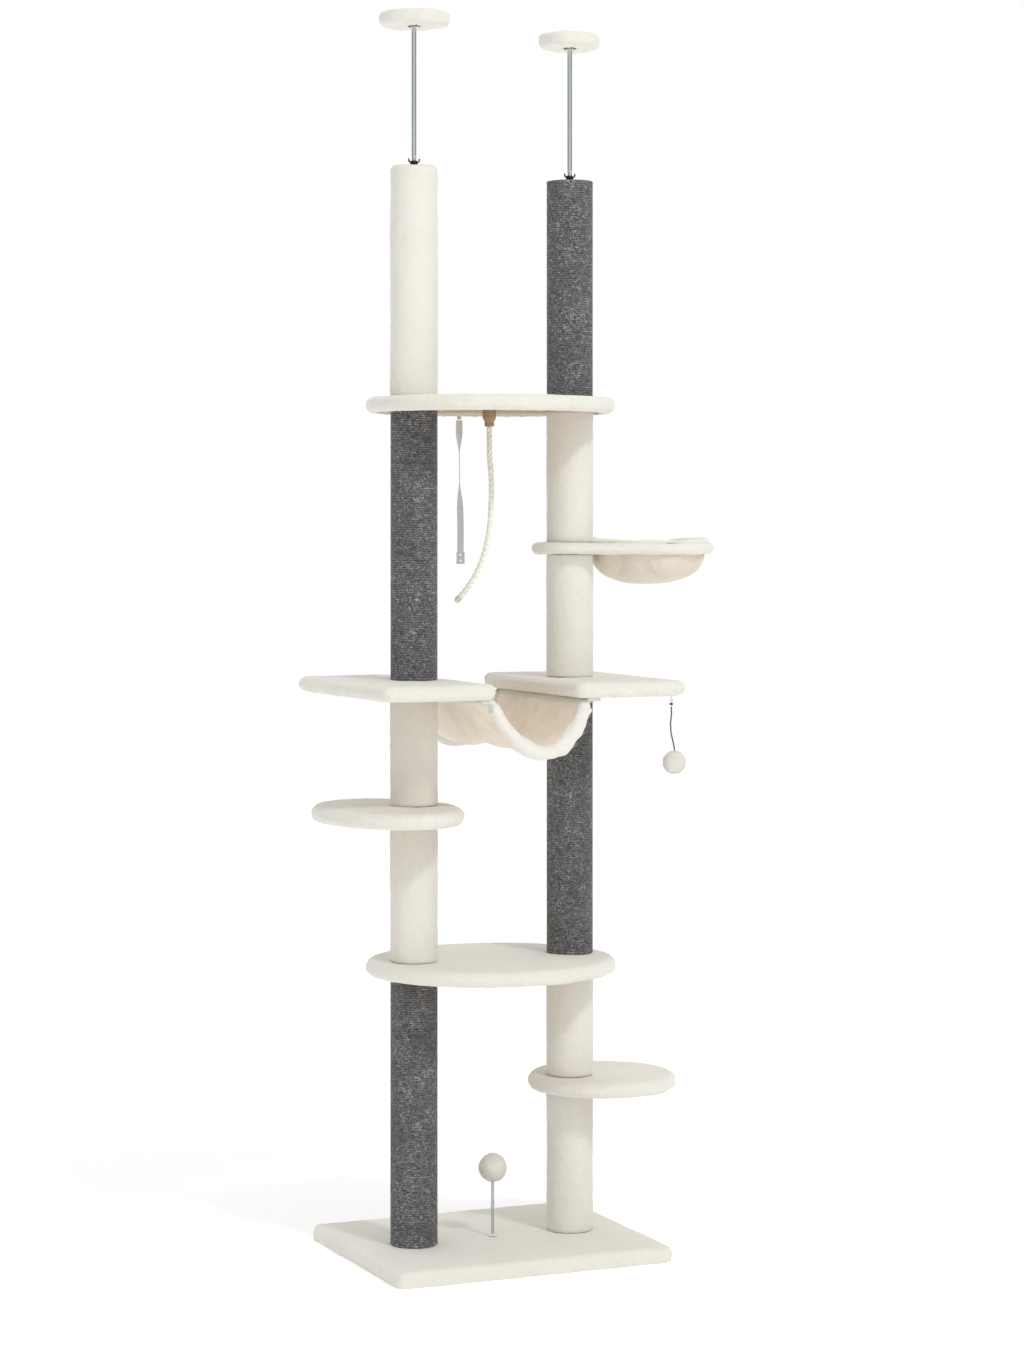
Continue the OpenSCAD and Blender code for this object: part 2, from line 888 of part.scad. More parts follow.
module pompom_staple() {
  color(steel_colour)
    translate([POMPOM_EYE[0], POMPOM_EYE[1], perch_z - eye_len])
      cylinder(d = eye_d, h = eye_len - touch, $fn = small);
}

module pompom_knot() {
  color(dark_colour)
    translate([POMPOM_EYE[0], POMPOM_EYE[1], perch_z - eye_len - slight - pompom_knot_d / 2])
      sphere(d = pompom_knot_d, $fn = small);
}

module pompom_cord() {
  color(dark_colour)
    cord(hung(POMPOM_ROUTE, perch_z), pompom_cord_d, pompom_cord_d, cord_sides);
}

// The pompom, flat where its cord meets it
module pompom() {
  end = POMPOM_ROUTE[len(POMPOM_ROUTE) - 1];
  color(plush_colour)
    translate([end[0], end[1], perch_z + end[2]])
      difference() {
        translate([0, 0, slight - pompom_d / 2])
          sphere(d = pompom_d, $fn = fine);
        translate([-pompom_d / 2, -pompom_d / 2, 0])
          cube([pompom_d, pompom_d, pompom_d]);
      }
}

module rope_knob() {
  color([0.55, 0.42, 0.33])
    translate([ROPE_AXIS[0], ROPE_AXIS[1], upper_oval_z + plush_t - knob_h])
      rotate_extrude($fn = fine)
        polygon([
          [0, 0],
          [knob_neck_d / 2, 0],
          [knob_neck_d / 2 + 1, knob_h * knob_waist_share],
          [knob_d / 2, knob_h * knob_shoulder_share],
          [knob_d / 2, knob_h - touch],
          [0, knob_h - touch]
        ]);
}

module rope_knot() {
  color(rope_colour)
    translate([ROPE_AXIS[0], ROPE_AXIS[1], upper_oval_z + plush_t - knob_h - slight - rope_knot_d / 2])
      sphere(d = rope_knot_d, $fn = small);
}

module play_rope() {
  color(rope_colour)
    cord(hung(ROPE_ROUTE, upper_oval_z), rope_d, rope_d, cord_sides);
}

module wall_strap() {
  color(strap_colour)
    cord(hung(STRAP_ROUTE, upper_oval_z), strap_w, strap_t, cord_sides);
}

// The plate that takes the wall screws, with its two holes one above the other
module strap_plate() {
  end = STRAP_ROUTE[len(STRAP_ROUTE) - 1];
  color(steel_colour)
    translate([end[0], end[1], upper_oval_z + end[2] - strap_plate_h])
      difference() {
        translate([-strap_plate_w / 2, -strap_plate_t / 2, 0])
          cube([strap_plate_w, strap_plate_t, strap_plate_h - slight]);
        for (side = [-1, 1])
          translate([0, 0, strap_plate_h / 2 + side * strap_hole_pitch / 2])
            rotate([90, 0, 0])
              cylinder(d = strap_hole_d, h = 2 * strap_plate_t, center = true, $fn = small);
      }
}

module strap_screw() {
  top = STRAP_ROUTE[0];
  color(steel_colour)
    translate([top[0], top[1], upper_oval_z - strap_screw_h])
      cylinder(d = strap_screw_d, h = strap_screw_h - touch, $fn = small);
}

base_board();
base_cover();
base_bolts();
left_post_tubes();
right_post_tubes();
post_end_plugs();
joining_studs();
left_sisal_lower();
left_plush_lower();
left_plush_middle();
left_sisal_upper();
left_plush_top();
right_plush_base();
right_plush_lower();
right_sisal_middle();
right_plush_middle();
right_plush_upper();
right_sisal_top();
lower_oval_board();
lower_oval_cover();
upper_oval_board();
upper_oval_cover();
left_step_board();
left_step_cover();
right_step_board();
right_step_cover();
left_perch_board();
left_perch_cover();
right_perch_board();
right_perch_cover();
bowl_board();
bowl_cover();
bowl_basket();
hammock();
hammock_screws();
left_rod();
right_rod();
left_wing_nut();
right_wing_nut();
guide_bushes();
left_pad_board();
left_pad_cover();
left_pad_flange();
right_pad_board();
right_pad_cover();
right_pad_flange();
toy_foot();
toy_spring();
toy_ball();
pompom_staple();
pompom_knot();
pompom_cord();
pompom();
rope_knob();
rope_knot();
play_rope();
wall_strap();
strap_plate();
strap_screw();
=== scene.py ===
"""Cat tree with two posts: plush, rope, metal and toys built round the fixed CAD frame."""
import math

import bmesh
import bpy
import numpy as np
from bpy.props import FloatProperty, FloatVectorProperty, IntProperty, PointerProperty
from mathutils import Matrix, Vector


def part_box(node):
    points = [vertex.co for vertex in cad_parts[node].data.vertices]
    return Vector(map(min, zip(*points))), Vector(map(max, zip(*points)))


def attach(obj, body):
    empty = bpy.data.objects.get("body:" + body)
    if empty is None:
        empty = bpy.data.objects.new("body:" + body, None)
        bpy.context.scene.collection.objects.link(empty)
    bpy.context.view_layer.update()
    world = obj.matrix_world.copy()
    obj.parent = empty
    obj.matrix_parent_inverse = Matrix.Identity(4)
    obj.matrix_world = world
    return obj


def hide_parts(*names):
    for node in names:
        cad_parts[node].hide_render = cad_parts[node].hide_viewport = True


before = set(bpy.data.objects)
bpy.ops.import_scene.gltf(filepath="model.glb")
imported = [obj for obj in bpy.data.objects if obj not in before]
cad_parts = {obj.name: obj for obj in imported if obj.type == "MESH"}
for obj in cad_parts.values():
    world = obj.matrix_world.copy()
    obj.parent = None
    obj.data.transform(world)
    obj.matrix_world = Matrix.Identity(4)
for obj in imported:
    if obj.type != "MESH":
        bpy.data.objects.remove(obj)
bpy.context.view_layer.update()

bl_info = {
    "name": "Cat Tree",
    "version": (1, 0, 0),
    "blender": (4, 5, 0),
    "location": "3D View > Sidebar > Cat Tree",
    "description": "Builds the plush, rope, metal and toys of a floor-to-ceiling cat tree",
    "category": "Add Mesh",
}

MM = 0.001
PLATFORMS = ("lower_oval", "upper_oval", "left_step", "right_step", "left_perch", "right_perch")


# ---------------------------------------------------------------- sizes and colours


def length(name, default, about):
    """A length property in metres."""
    return FloatProperty(
        name=name, default=default, description=about, unit="LENGTH", min=0.0, max=1.0, precision=4
    )


def tint(name, default, about):
    """A colour property."""
    return FloatVectorProperty(
        name=name, default=default, description=about, subtype="COLOR", size=3, min=0.0, max=1.0
    )


class CatTreeSizes(bpy.types.PropertyGroup):
    """Sizes of the soft and wound pieces."""

    cell: length("Cloth cell", 0.0046, "Edge of one face of the plush")
    lump: length("Plush lumps", 0.0011, "Height of the soft lumps in the plush")
    pile: length("Pile", 0.0007, "Height of the tufts of the pile")
    sisal_pitch: length("Sisal pitch", 0.0048, "Height of one turn of the wound rope")
    thread_pitch: length("Thread pitch", 0.0015, "Pitch of the tensioners' thread")
    hem: length("Sling hem", 0.0165, "Radius of the rolled hem along the sling's open edges")
    staple_gap: length("Staple gap", 0.034, "Distance between the staples under a platform")
    rope_lay: length("Rope lay", 0.036, "Length of one turn of the play rope's strands")
    seed: IntProperty(name="Seed", default=7, description="Seed of every random pattern")


class CatTreeColours(bpy.types.PropertyGroup):
    """Colours of the finishes."""

    plush: tint("Plush", (0.795, 0.780, 0.712), "Cream plush")
    plush_shade: tint("Plush shade", (0.715, 0.680, 0.600), "Plush between its tufts")
    sisal: tint("Sisal", (0.086, 0.086, 0.088), "Dark grey rope on the posts")
    sisal_fibre: tint("Sisal fibre", (0.430, 0.430, 0.425), "Lighter fibres of that rope")
    board: tint("Board", (0.420, 0.275, 0.165), "Bare particle board")
    steel: tint("Steel", (0.600, 0.665, 0.660), "Zinc plated steel")
    rope: tint("Rope", (1.000, 0.985, 0.900), "Twisted play rope")
    knob: tint("Knob", (0.390, 0.260, 0.145), "Turned knob above the rope")
    strap: tint("Strap", (0.800, 0.800, 0.810), "Grey webbing")


def sizes():
    """The scene's sizes."""
    return bpy.context.scene.cat_tree_sizes


def colours():
    """The scene's colours."""
    return bpy.context.scene.cat_tree_colours


def corners(node):
    """Lowest and highest corner of a CAD node, as arrays."""
    low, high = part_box(node)
    return np.array(low), np.array(high)


def axis_of(side):
    """The vertical axis of a post, as x and y."""
    low, high = corners(f"{side}_post_tubes")
    return (low[:2] + high[:2]) / 2


# ---------------------------------------------------------------- smooth random lumps


def lattice(cells, seed):
    """A repeatable random value from -1 to 1 for each whole-numbered cell."""
    mixed = cells[..., 0] * 73856093 ^ cells[..., 1] * 19349663 ^ cells[..., 2] * 83492791
    mixed = (mixed ^ (seed * 2654435761)) & 0xFFFFFFFF
    for turn in (15, 13):
        mixed = ((mixed ^ (mixed >> turn)) * 2246822519) & 0xFFFFFFFF
    return (mixed & 0xFFFF) / 32767.5 - 1.0


def lumps(points, size, seed):
    """Smooth lumps from -1 to 1 with humps about size metres apart."""
    where = np.asarray(points) / size
    cell = np.floor(where).astype(np.int64)
    share = where - cell
    share = share * share * (3 - 2 * share)
    total = 0.0
    for corner in np.ndindex(2, 2, 2):
        weight = np.prod(np.where(corner, share, 1 - share), axis=-1)
        total = total + weight * lattice(cell + np.array(corner), seed)
    return total


def plush_relief(points, seed, soft):
    """Height of the plush over its backing: broad lumps, small lumps and tufts."""
    s = sizes()
    broad = lumps(points, 0.052, seed) * s.lump * soft
    small = lumps(points, 0.019, seed + 1) * s.lump * 0.65 * soft
    tufts = lumps(points, 0.0075, seed + 2) * s.pile
    return broad + small + tufts


# ---------------------------------------------------------------- meshes


def make_mesh(name, points, faces, material):
    """A mesh object at the origin from points and faces."""
    mesh = bpy.data.meshes.new(name)
    mesh.from_pydata([tuple(map(float, p)) for p in points], [], [tuple(map(int, f)) for f in faces])
    mesh.validate(clean_customdata=False)
    mesh.update()
    for face in mesh.polygons:
        face.use_smooth = True
    mesh.materials.append(material)
    piece = bpy.data.objects.new(name, mesh)
    bpy.context.scene.collection.objects.link(piece)
    return piece


def face_outwards(piece):
    """Turn every face outwards."""
    b = bmesh.new()
    b.from_mesh(piece.data)
    bmesh.ops.remove_doubles(b, verts=b.verts, dist=1e-6)
    bmesh.ops.recalc_face_normals(b, faces=b.faces)
    b.to_mesh(piece.data)
    b.free()
    piece.data.update()


def points_of(piece):
    """The piece's vertices as an array."""
    flat = np.empty(len(piece.data.vertices) * 3)
    piece.data.vertices.foreach_get("co", flat)
    return flat.reshape(-1, 3)


def normals_of(piece):
    """The normals at the piece's vertices as an array."""
    flat = np.empty(len(piece.data.vertices) * 3)
    piece.data.vertex_normals.foreach_get("vector", flat)
    return flat.reshape(-1, 3)


def place_points(piece, points):
    """Move the piece's vertices to these points."""
    piece.data.vertices.foreach_set("co", points.ravel())
    piece.data.update()


def push_out(piece, height):
    """Move every vertex along its normal by height, one value a vertex."""
    place_points(piece, points_of(piece) + normals_of(piece) * np.asarray(height)[:, None])


def paint_faces(piece, flags, material):
    """Give the faces with a flag a second material."""
    piece.data.materials.append(material)
    piece.data.polygons.foreach_set("material_index", flags.astype(np.int32))
    piece.data.update()


def ring_faces(first, second, count):
    """Quads between two rings of count points that start at first and second."""
    return [
        (first + k, first + (k + 1) % count, second + (k + 1) % count, second + k)
        for k in range(count)
    ]


def tube_faces(rings, count):
    """Quads of a tube of rings, with a face over each end."""
    faces = []
    for i in range(rings - 1):
        faces += ring_faces(i * count, (i + 1) * count, count)
    faces.append(tuple(range(count))[::-1])
    faces.append(tuple((rings - 1) * count + k for k in range(count)))
    return faces


def torus_faces(rings, count):
    """Quads of a tube of rings whose last ring meets its first."""
    faces = []
    for i in range(rings):
        faces += ring_faces(i * count, ((i + 1) % rings) * count, count)
    return faces


def whole_turn(steps):
    """Angles of a whole turn in equal steps, without the last."""
    return np.linspace(0, 2 * np.pi, steps, endpoint=False)


def disc(steps, radius):
    """Points of a circle, as the section of a round wire."""
    turn = whole_turn(steps)
    return np.stack([np.cos(turn), np.sin(turn)], axis=1) * radius


def unit(rows):
    """Each row made one long."""
    return rows / np.linalg.norm(rows, axis=1)[:, None]


def lathe(name, profile, centre, material, steps, relief=None):
    """A closed turned piece: profile is a list of (radius, height) from the lower pole to the upper."""
    turn = whole_turn(steps)
    radius = np.array([p[0] for p in profile])[:, None]
    height = np.array([p[1] for p in profile])[:, None] + 0 * turn
    rings = np.stack([radius * np.cos(turn), radius * np.sin(turn), height], axis=-1)
    points = rings.reshape(-1, 3) + np.array([centre[0], centre[1], centre[2]])
    piece = make_mesh(name, points, tube_faces(len(profile), steps), material)
    face_outwards(piece)
    if relief is not None:
        push_out(piece, relief(points_of(piece)))
    return piece


def along_route(route, step):
    """Points about step apart on a smooth curve through the route."""
    knots = np.asarray(route, float)
    ends = np.vstack([2 * knots[0] - knots[1], knots, 2 * knots[-1] - knots[-2]])
    line = []
    for i in range(1, len(ends) - 2):
        a, b, c, d = ends[i - 1 : i + 3]
        square, cube = 2 * a - 5 * b + 4 * c - d, 3 * b - a - 3 * c + d
        count = max(2, int(round(np.linalg.norm(c - b) / step)))
        for t in np.linspace(0, 1, count, endpoint=False):
            line.append(0.5 * (2 * b + (c - a) * t + square * t**2 + cube * t**3))
    line.append(knots[-1])
    return np.array(line)


def frames_on(line):
    """Two unit vectors square to a line at each of its points, carried along without twist."""
    ahead = unit(np.gradient(line, axis=0))
    side = np.array([0.0, 1.0, 0.0])
    sides = []
    for direction in ahead:
        side = side - direction * side.dot(direction)
        side /= np.linalg.norm(side)
        sides.append(side.copy())
    sides = np.array(sides)
    return sides, np.cross(ahead, sides)


def line_length(line):
    """Length of a line of points."""
    return float(np.linalg.norm(np.diff(line, axis=0), axis=1).sum())


def sweep(name, line, section, material, turn=None):
    """A tube along a line: section holds a ring's (side, up) offsets, turn its roll at each point."""
    side, up = frames_on(line)
    if turn is not None:
        c, s = np.cos(turn)[:, None], np.sin(turn)[:, None]
        side, up = side * c + up * s, up * c - side * s
    section = np.asarray(section)
    if section.ndim == 2:
        section = np.repeat(section[None], len(line), axis=0)
    rings = line[:, None] + side[:, None] * section[..., :1] + up[:, None] * section[..., 1:]
    count = section.shape[1]
    piece = make_mesh(name, rings.reshape(-1, 3), tube_faces(len(line), count), material)
    face_outwards(piece)
    return piece


def join(name, pieces):
    """Join mesh pieces into one, at the origin."""
    whole = bmesh.new()
    slots = []
    for piece in pieces:
        for material in piece.data.materials:
            if material not in slots:
                slots.append(material)
    for piece in pieces:
        before = len(whole.faces)
        whole.from_mesh(piece.data)
        whole.faces.ensure_lookup_table()
        renumber = [slots.index(m) for m in piece.data.materials]
        for face in whole.faces[before:]:
            face.material_index = renumber[face.material_index]
    mesh = bpy.data.meshes.new(name)
    whole.to_mesh(mesh)
    whole.free()
    for material in slots:
        mesh.materials.append(material)
    for piece in pieces:
        old = piece.data
        bpy.data.objects.remove(piece)
        bpy.data.meshes.remove(old)
    joined = bpy.data.objects.new(name, mesh)
    bpy.context.scene.collection.objects.link(joined)
    return joined


# ---------------------------------------------------------------- shader expressions


class Value:
    """A shader socket with arithmetic: each operation adds its Math node."""

    def __init__(self, paint, socket):
        self.paint = paint
        self.socket = socket

    def maths(self, operation, *others):
        """One Math node on this value and the others."""
        inputs = {0: self, **dict(enumerate(others, 1))}
        return self.paint.node("ShaderNodeMath", {"operation": operation}, inputs)

    def __add__(self, other):
        return self.maths("ADD", other)

    def __sub__(self, other):
        return self.maths("SUBTRACT", other)

    def __rsub__(self, other):
        return (self * -1.0) + other

    def __mul__(self, other):
        return self.maths("MULTIPLY", other)

    def clamp(self):
        """This value held between 0 and 1."""
        return self.maths("MAXIMUM", 0.0).maths("MINIMUM", 1.0)

    def wave(self):
        """Sine of this value, from -1 to 1."""
        return self.maths("SINE")

    def ridge(self, level, width):
        """1 where this value is at the level, falling to 0 at width from it: a thin wavy line."""
        return (1.0 - (self - level).maths("ABSOLUTE") * (1.0 / width)).clamp()

    def step(self, low, high):
        """0 below low, 1 above high and a straight slope between."""
        return ((self - low) * (1.0 / (high - low))).clamp()


class Paint:
    """A material under construction."""

    def __init__(self, name):
        self.material = bpy.data.materials.new(name)
        self.material.use_nodes = True
        self.tree = self.material.node_tree
        self.tree.nodes.clear()
        self.shader = self.tree.nodes.new("ShaderNodeBsdfPrincipled")
        out = self.tree.nodes.new("ShaderNodeOutputMaterial")
        self.tree.links.new(self.shader.outputs[0], out.inputs[0])

    def node(self, kind, settings=None, inputs=None, output=0):
        """Any node: settings first, then values or links for its sockets."""
        made = self.tree.nodes.new(kind)
        for key, value in (settings or {}).items():
            setattr(made, key, value)
        for key, value in (inputs or {}).items():
            self.feed(made.inputs[key], value)
        return Value(self, made.outputs[output])

    def feed(self, socket, value):
        """Link a value to a socket, or set it."""
        if isinstance(value, Value):
            self.tree.links.new(value.socket, socket)
        elif socket.type == "RGBA" and len(value) == 3:
            socket.default_value = (*value, 1.0)
        else:
            socket.default_value = value

    def place(self, scale=(1.0, 1.0, 1.0)):
        """Object coordinates in metres, scaled."""
        where = self.node("ShaderNodeTexCoord", output="Object")
        return self.node("ShaderNodeMapping", {}, {"Vector": where, "Scale": scale})

    def noise(self, where, scale, detail=2.0, roughness=0.5, distortion=0.0):
        """Noise from 0 to 1."""
        inputs = {"Vector": where, "Scale": scale, "Detail": detail}
        inputs.update({"Roughness": roughness, "Distortion": distortion})
        return self.node("ShaderNodeTexNoise", {}, inputs)

    def attribute(self, name):
        """A named value stored on the mesh."""
        return self.node("ShaderNodeAttribute", {"attribute_name": name}, output="Fac")

    def mix(self, share, low, high):
        """A colour from low to high."""
        mixed = self.tree.nodes.new("ShaderNodeMix")
        mixed.data_type = "RGBA"
        for key, value in ((0, share), (6, low), (7, high)):
            self.feed(mixed.inputs[key], value)
        return Value(self, mixed.outputs[2])

    def bump(self, height, depth, strength):
        """A normal from a height, depth in metres."""
        return self.node("ShaderNodeBump", {}, {"Height": height, "Distance": depth, "Strength": strength})

    def finish(self, **sockets):
        """Set or link the shader's sockets by name, with spaces for underscores."""
        for key, value in sockets.items():
            self.feed(self.shader.inputs[key.replace("_", " ")], value)
        return self.material


# ---------------------------------------------------------------- materials

made_materials = {}


def toned(colour, *factors):
    """A colour times one factor, or times one for each channel, held below 1."""
    shares = factors if len(factors) == 3 else factors * 3
    return tuple(min(1.0, v * k) for v, k in zip(colour, shares))


def finish_of(name):
    """The material of that name, made once."""
    if name not in made_materials:
        made_materials[name] = MAKERS[name]()
    return made_materials[name]


def make_plush(name="cream_plush", depth=0.0016, light=None, shade=None):
    """Short cream pile: tufts, a brushed nap and soft shading between the tufts."""
    p = Paint(name)
    c = colours()
    where = p.place()
    lean = p.noise(where, 9.0, 2.0)
    tufts = p.noise(where, 120.0, 2.0, 0.55, 0.5)
    hairs = p.noise(p.place((1.0, 1.0, 0.45)), 620.0, 2.0, 0.6)
    height = tufts * 0.8 + hairs * 0.2
    hollow = tufts.step(0.30, 0.66)
    nap = lean.step(0.3, 0.7) * 0.25
    share = (hollow * 0.32 + nap + hairs * 0.12 + 0.34).clamp()
    colour = p.mix(share, shade or tuple(c.plush_shade), light or tuple(c.plush))
    return p.finish(
        Base_Color=colour,
        Roughness=0.92,
        Specular_IOR_Level=0.12,
        Sheen_Weight=0.35,
        Sheen_Roughness=0.45,
        Subsurface_Weight=0.12,
        Subsurface_Radius=(0.012, 0.010, 0.007),
        Subsurface_Scale=0.35,
        Normal=p.bump(height, depth, 0.45),
    )


def make_fluff():
    """The lighter pile of the balls, the bowl's lip and the sling's hems."""
    return make_plush("fluffy_plush", 0.0010, (0.810, 0.795, 0.735), (0.740, 0.720, 0.650))


def make_lining(name="smooth_lining", tone=1.17):
    """Smooth backing cloth of the sling, with soft crumples: a bump, and painted shade in their hollows."""
    p = Paint(name)
    c = colours()
    where = p.place()
    knit = p.noise(p.place((1.0, 1.0, 2.2)), 520.0, 2.0, 0.6)
    cloud = p.noise(where, 16.0, 2.0)
    warm = toned(c.plush, tone, 0.930 * tone, 0.880 * tone)
    cool = toned(c.plush_shade, 1.08 * tone, tone, 0.960 * tone)
    # Painted shade: these patches are bumped down and their colour goes towards a darker tone, standing in
    # for shade in the crumples.
    creases = p.noise(p.place((1.0, 1.0, 0.8)), 30.0, 1.5, 0.5, 0.5).step(0.44, 0.74)
    colour = p.mix((cloud.step(0.3, 0.7) * 0.6 + knit * 0.5).clamp(), cool, warm)
    colour = p.mix(creases * 0.34, colour, toned(cool, 0.78))
    return p.finish(
        Base_Color=colour,
        Roughness=0.85,
        Specular_IOR_Level=0.18,
        Sheen_Weight=0.25,
        Normal=p.bump(knit * 0.15 - creases, 0.0045, 0.5),
    )


def make_shaded_bowl_cloth():
    """The bowl's backing cloth: the sling's cloth made a good deal darker, as painted shade under the bowl.
    """
    return make_lining("bowl_cloth", 0.93)


def make_sisal():
    """Dark grey sisal: the lay of the strands, stray light fibres, worn patches and painted shade in its
    hollows.
    """
    p = Paint("dark_sisal")
    c = colours()
    run = p.attribute("run")
    round_it = p.attribute("round")
    lay = (run * (2 * math.pi / 0.0052) + round_it * (2 * math.pi)).wave() * 0.5 + 0.5
    where = p.place((1.0, 1.0, 1.9))
    fibres = p.noise(where, 62.0, 1.0, 0.5, 0.5)
    strays = p.noise(p.place((1.0, 1.0, 1.2)), 84.0, 0.5, 0.5, 0.7)
    hollows = p.noise(where, 90.0, 2.0, 0.6, 0.6)
    fuzz = p.noise(where, 420.0, 3.0, 0.7)
    patches = p.noise(p.place(), 22.0, 3.0, 0.6).step(0.30, 0.62)
    curl = fibres.ridge(0.42, 0.032) + fibres.ridge(0.57, 0.032)
    stray = strays.ridge(0.50, 0.040) * patches
    bright = curl * (patches * 0.25 + 0.50) + stray * 0.55 + fuzz.step(0.5, 0.8) * 0.08
    share = (bright + lay * 0.10).clamp()
    # Painted shade: the rope goes much darker in its hollows, which the bump also sinks.
    painted_shade = hollows.step(0.45, 0.65) * 0.60
    ground = p.mix(painted_shade, tuple(c.sisal), toned(c.sisal, 0.35))
    colour = p.mix(share, ground, tuple(c.sisal_fibre))
    return p.finish(
        Base_Color=colour,
        Roughness=0.93,
        Specular_IOR_Level=0.2,
        Sheen_Weight=0.15,
        Normal=p.bump(lay * 0.3 + curl * 0.5 + fuzz * 0.3 - painted_shade * 0.4, 0.0012, 0.8),
    )


def make_board():
    """Bare particle board: chips of wood pressed flat."""
    p = Paint("particle_board")
    c = colours()
    where = p.place((1.0, 1.0, 0.6))
    cells = {"Vector": where, "Scale": 260.0}
    chips = p.node("ShaderNodeTexVoronoi", {"feature": "F1"}, cells, output="Color")
    grey = p.node("ShaderNodeSeparateColor", {}, {"Color": chips})
    grain = p.noise(p.place((1.0, 6.0, 1.0)), 120.0, 4.0, 0.6)
    colour = p.mix((grey * 0.55 + grain * 0.5).clamp(), toned(c.board, 0.55), toned(c.board, 1.45))
    return p.finish(
        Base_Color=colour,
        Roughness=grain * 0.25 + 0.6,
        Specular_IOR_Level=0.3,
        Normal=p.bump(grey * 0.5 + grain * 0.5, 0.0003, 0.5),
    )


def make_cardboard():
    """Spiral-wound grey-brown cardboard tube."""
    p = Paint("cardboard_tube")
    where = p.place((1.0, 1.0, 0.4))
    pulp = p.noise(where, 300.0, 4.0, 0.7)
    colour = p.mix(pulp.step(0.3, 0.7), (0.30, 0.21, 0.13), (0.52, 0.39, 0.26))
    return p.finish(Base_Color=colour, Roughness=0.85, Normal=p.bump(pulp, 0.0003, 0.5))


def make_steel():
    """Zinc plated steel: faint spangle, drawn scratches and handling marks."""
    p = Paint("zinc_steel")
    tone = tuple(colours().steel)
    spangle = p.noise(p.place((1.0, 1.0, 0.15)), 110.0, 2.0)
    drawn = p.noise(p.place((1.0, 1.0, 0.03)), 900.0, 2.0)
    marks = p.noise(p.place((1.0, 1.0, 0.25)), 34.0, 3.0).step(0.45, 0.7)
    colour = p.mix(spangle.step(0.3, 0.7), toned(tone, 0.93), tone)
    return p.finish(Base_Color=colour, Metallic=1.0, Roughness=marks * 0.10 + drawn * 0.05 + 0.16)


def make_black_steel():
    """Blackened steel of the wing nuts, worn in small scattered spots."""
    p = Paint("black_steel")
    worn = p.noise(p.place(), 420.0, 3.0).step(0.6, 0.8)
    colour = p.mix(worn * 0.5, (0.018, 0.018, 0.020), (0.16, 0.16, 0.165))
    return p.finish(Base_Color=colour, Metallic=0.85, Roughness=worn * 0.2 + 0.36)


def make_cord():
    """Dark grey braided elastic."""
    p = Paint("braided_elastic")
    braid = p.noise(p.place((1.0, 1.0, 0.5)), 900.0, 2.0)
    colour = p.mix(braid.step(0.35, 0.65), (0.045, 0.047, 0.052), (0.13, 0.135, 0.145))
    return p.finish(Base_Color=colour, Roughness=0.75, Normal=p.bump(braid, 0.0004, 0.6))


def make_rope():
    """Cream twisted rope: fine yarns in each strand, and painted shade on each strand's side where it meets
    the others.
    """
    p = Paint("twisted_rope")
    c = colours()
    run = p.attribute("run")
    round_it = p.attribute("round")
    yarns = (run * (2 * math.pi / 0.011) + round_it * (10 * math.pi)).wave() * 0.5 + 0.5
    fuzz = p.noise(p.place(), 700.0, 3.0, 0.7)
    # Painted shade: the stored value is 0 where a strand meets the others and 1 on its outer side, and the
    # colour goes darker towards 0.
    crease = p.attribute("crease")
    share = (yarns * 0.25 + fuzz * 0.30 + crease * 0.65).clamp()
    colour = p.mix(share, toned(c.rope, 0.89, 0.87, 0.79), tuple(c.rope))
    return p.finish(
        Base_Color=colour,
        Roughness=0.85,
        Sheen_Weight=0.2,
        Normal=p.bump(yarns * 0.6 + fuzz * 0.4, 0.0005, 0.7),
    )


def make_knob():
    """Turned beech, stained brown, with fine rings."""
    p = Paint("stained_beech")
    c = colours()
    grain = p.noise(p.place((1.0, 1.0, 7.0)), 90.0, 4.0, 0.6, 0.4)
    flecks = p.noise(p.place((1.0, 4.0, 1.0)), 380.0, 2.0)
    share = (grain.step(0.3, 0.7) * 0.8 + flecks * 0.2).clamp()
    colour = p.mix(share, toned(c.knob, 0.6), toned(c.knob, 1.35))
    return p.finish(Base_Color=colour, Roughness=grain * 0.2 + 0.38, Normal=p.bump(grain, 0.0002, 0.4))


def make_webbing():
    """Grey webbing: a plain weave with stitched edges."""
    p = Paint("grey_webbing")
    c = colours()
    run = p.attribute("run")
    across = p.attribute("round")
    warp = (across * (2 * math.pi * 13)).wave()
    weft = (run * (2 * math.pi / 0.0016)).wave()
    weave = warp * weft * 0.5 + 0.5
    fuzz = p.noise(p.place(), 800.0, 2.0)
    colour = p.mix((weave * 0.6 + fuzz * 0.4).clamp(), toned(c.strap, 0.80), tuple(c.strap))
    return p.finish(Base_Color=colour, Roughness=0.7, Normal=p.bump(weave, 0.0003, 0.6))


def make_thread():
    """Cream stitching thread."""
    p = Paint("cream_thread")
    twist = p.noise(p.place(), 1400.0, 2.0)
    colour = p.mix(twist, (0.60, 0.56, 0.48), (0.86, 0.83, 0.76))
    return p.finish(Base_Color=colour, Roughness=0.7)


def make_floor():
    """White studio floor that glows a little, so that it melts into the sky."""
    p = Paint("studio_floor")
    cloud = p.noise(p.place(), 0.8, 2.0)
    colour = p.mix(cloud, (0.965, 0.965, 0.965), (0.975, 0.975, 0.975))
    return p.finish(
        Base_Color=colour,
        Roughness=0.8,
        Specular_IOR_Level=0.1,
        Emission_Color=(1.0, 1.0, 1.0, 1.0),
        Emission_Strength=0.16,
    )


MAKERS = {
    "plush": make_plush,
    "fluff": make_fluff,
    "lining": make_lining,
    "bowl_cloth": make_shaded_bowl_cloth,
    "sisal": make_sisal,
    "board": make_board,
    "tube": make_cardboard,
    "steel": make_steel,
    "black_steel": make_black_steel,
    "cord": make_cord,
    "rope": make_rope,
    "knob": make_knob,
    "webbing": make_webbing,
    "thread": make_thread,
    "floor": make_floor,
}


# ---------------------------------------------------------------- outlines of the covers


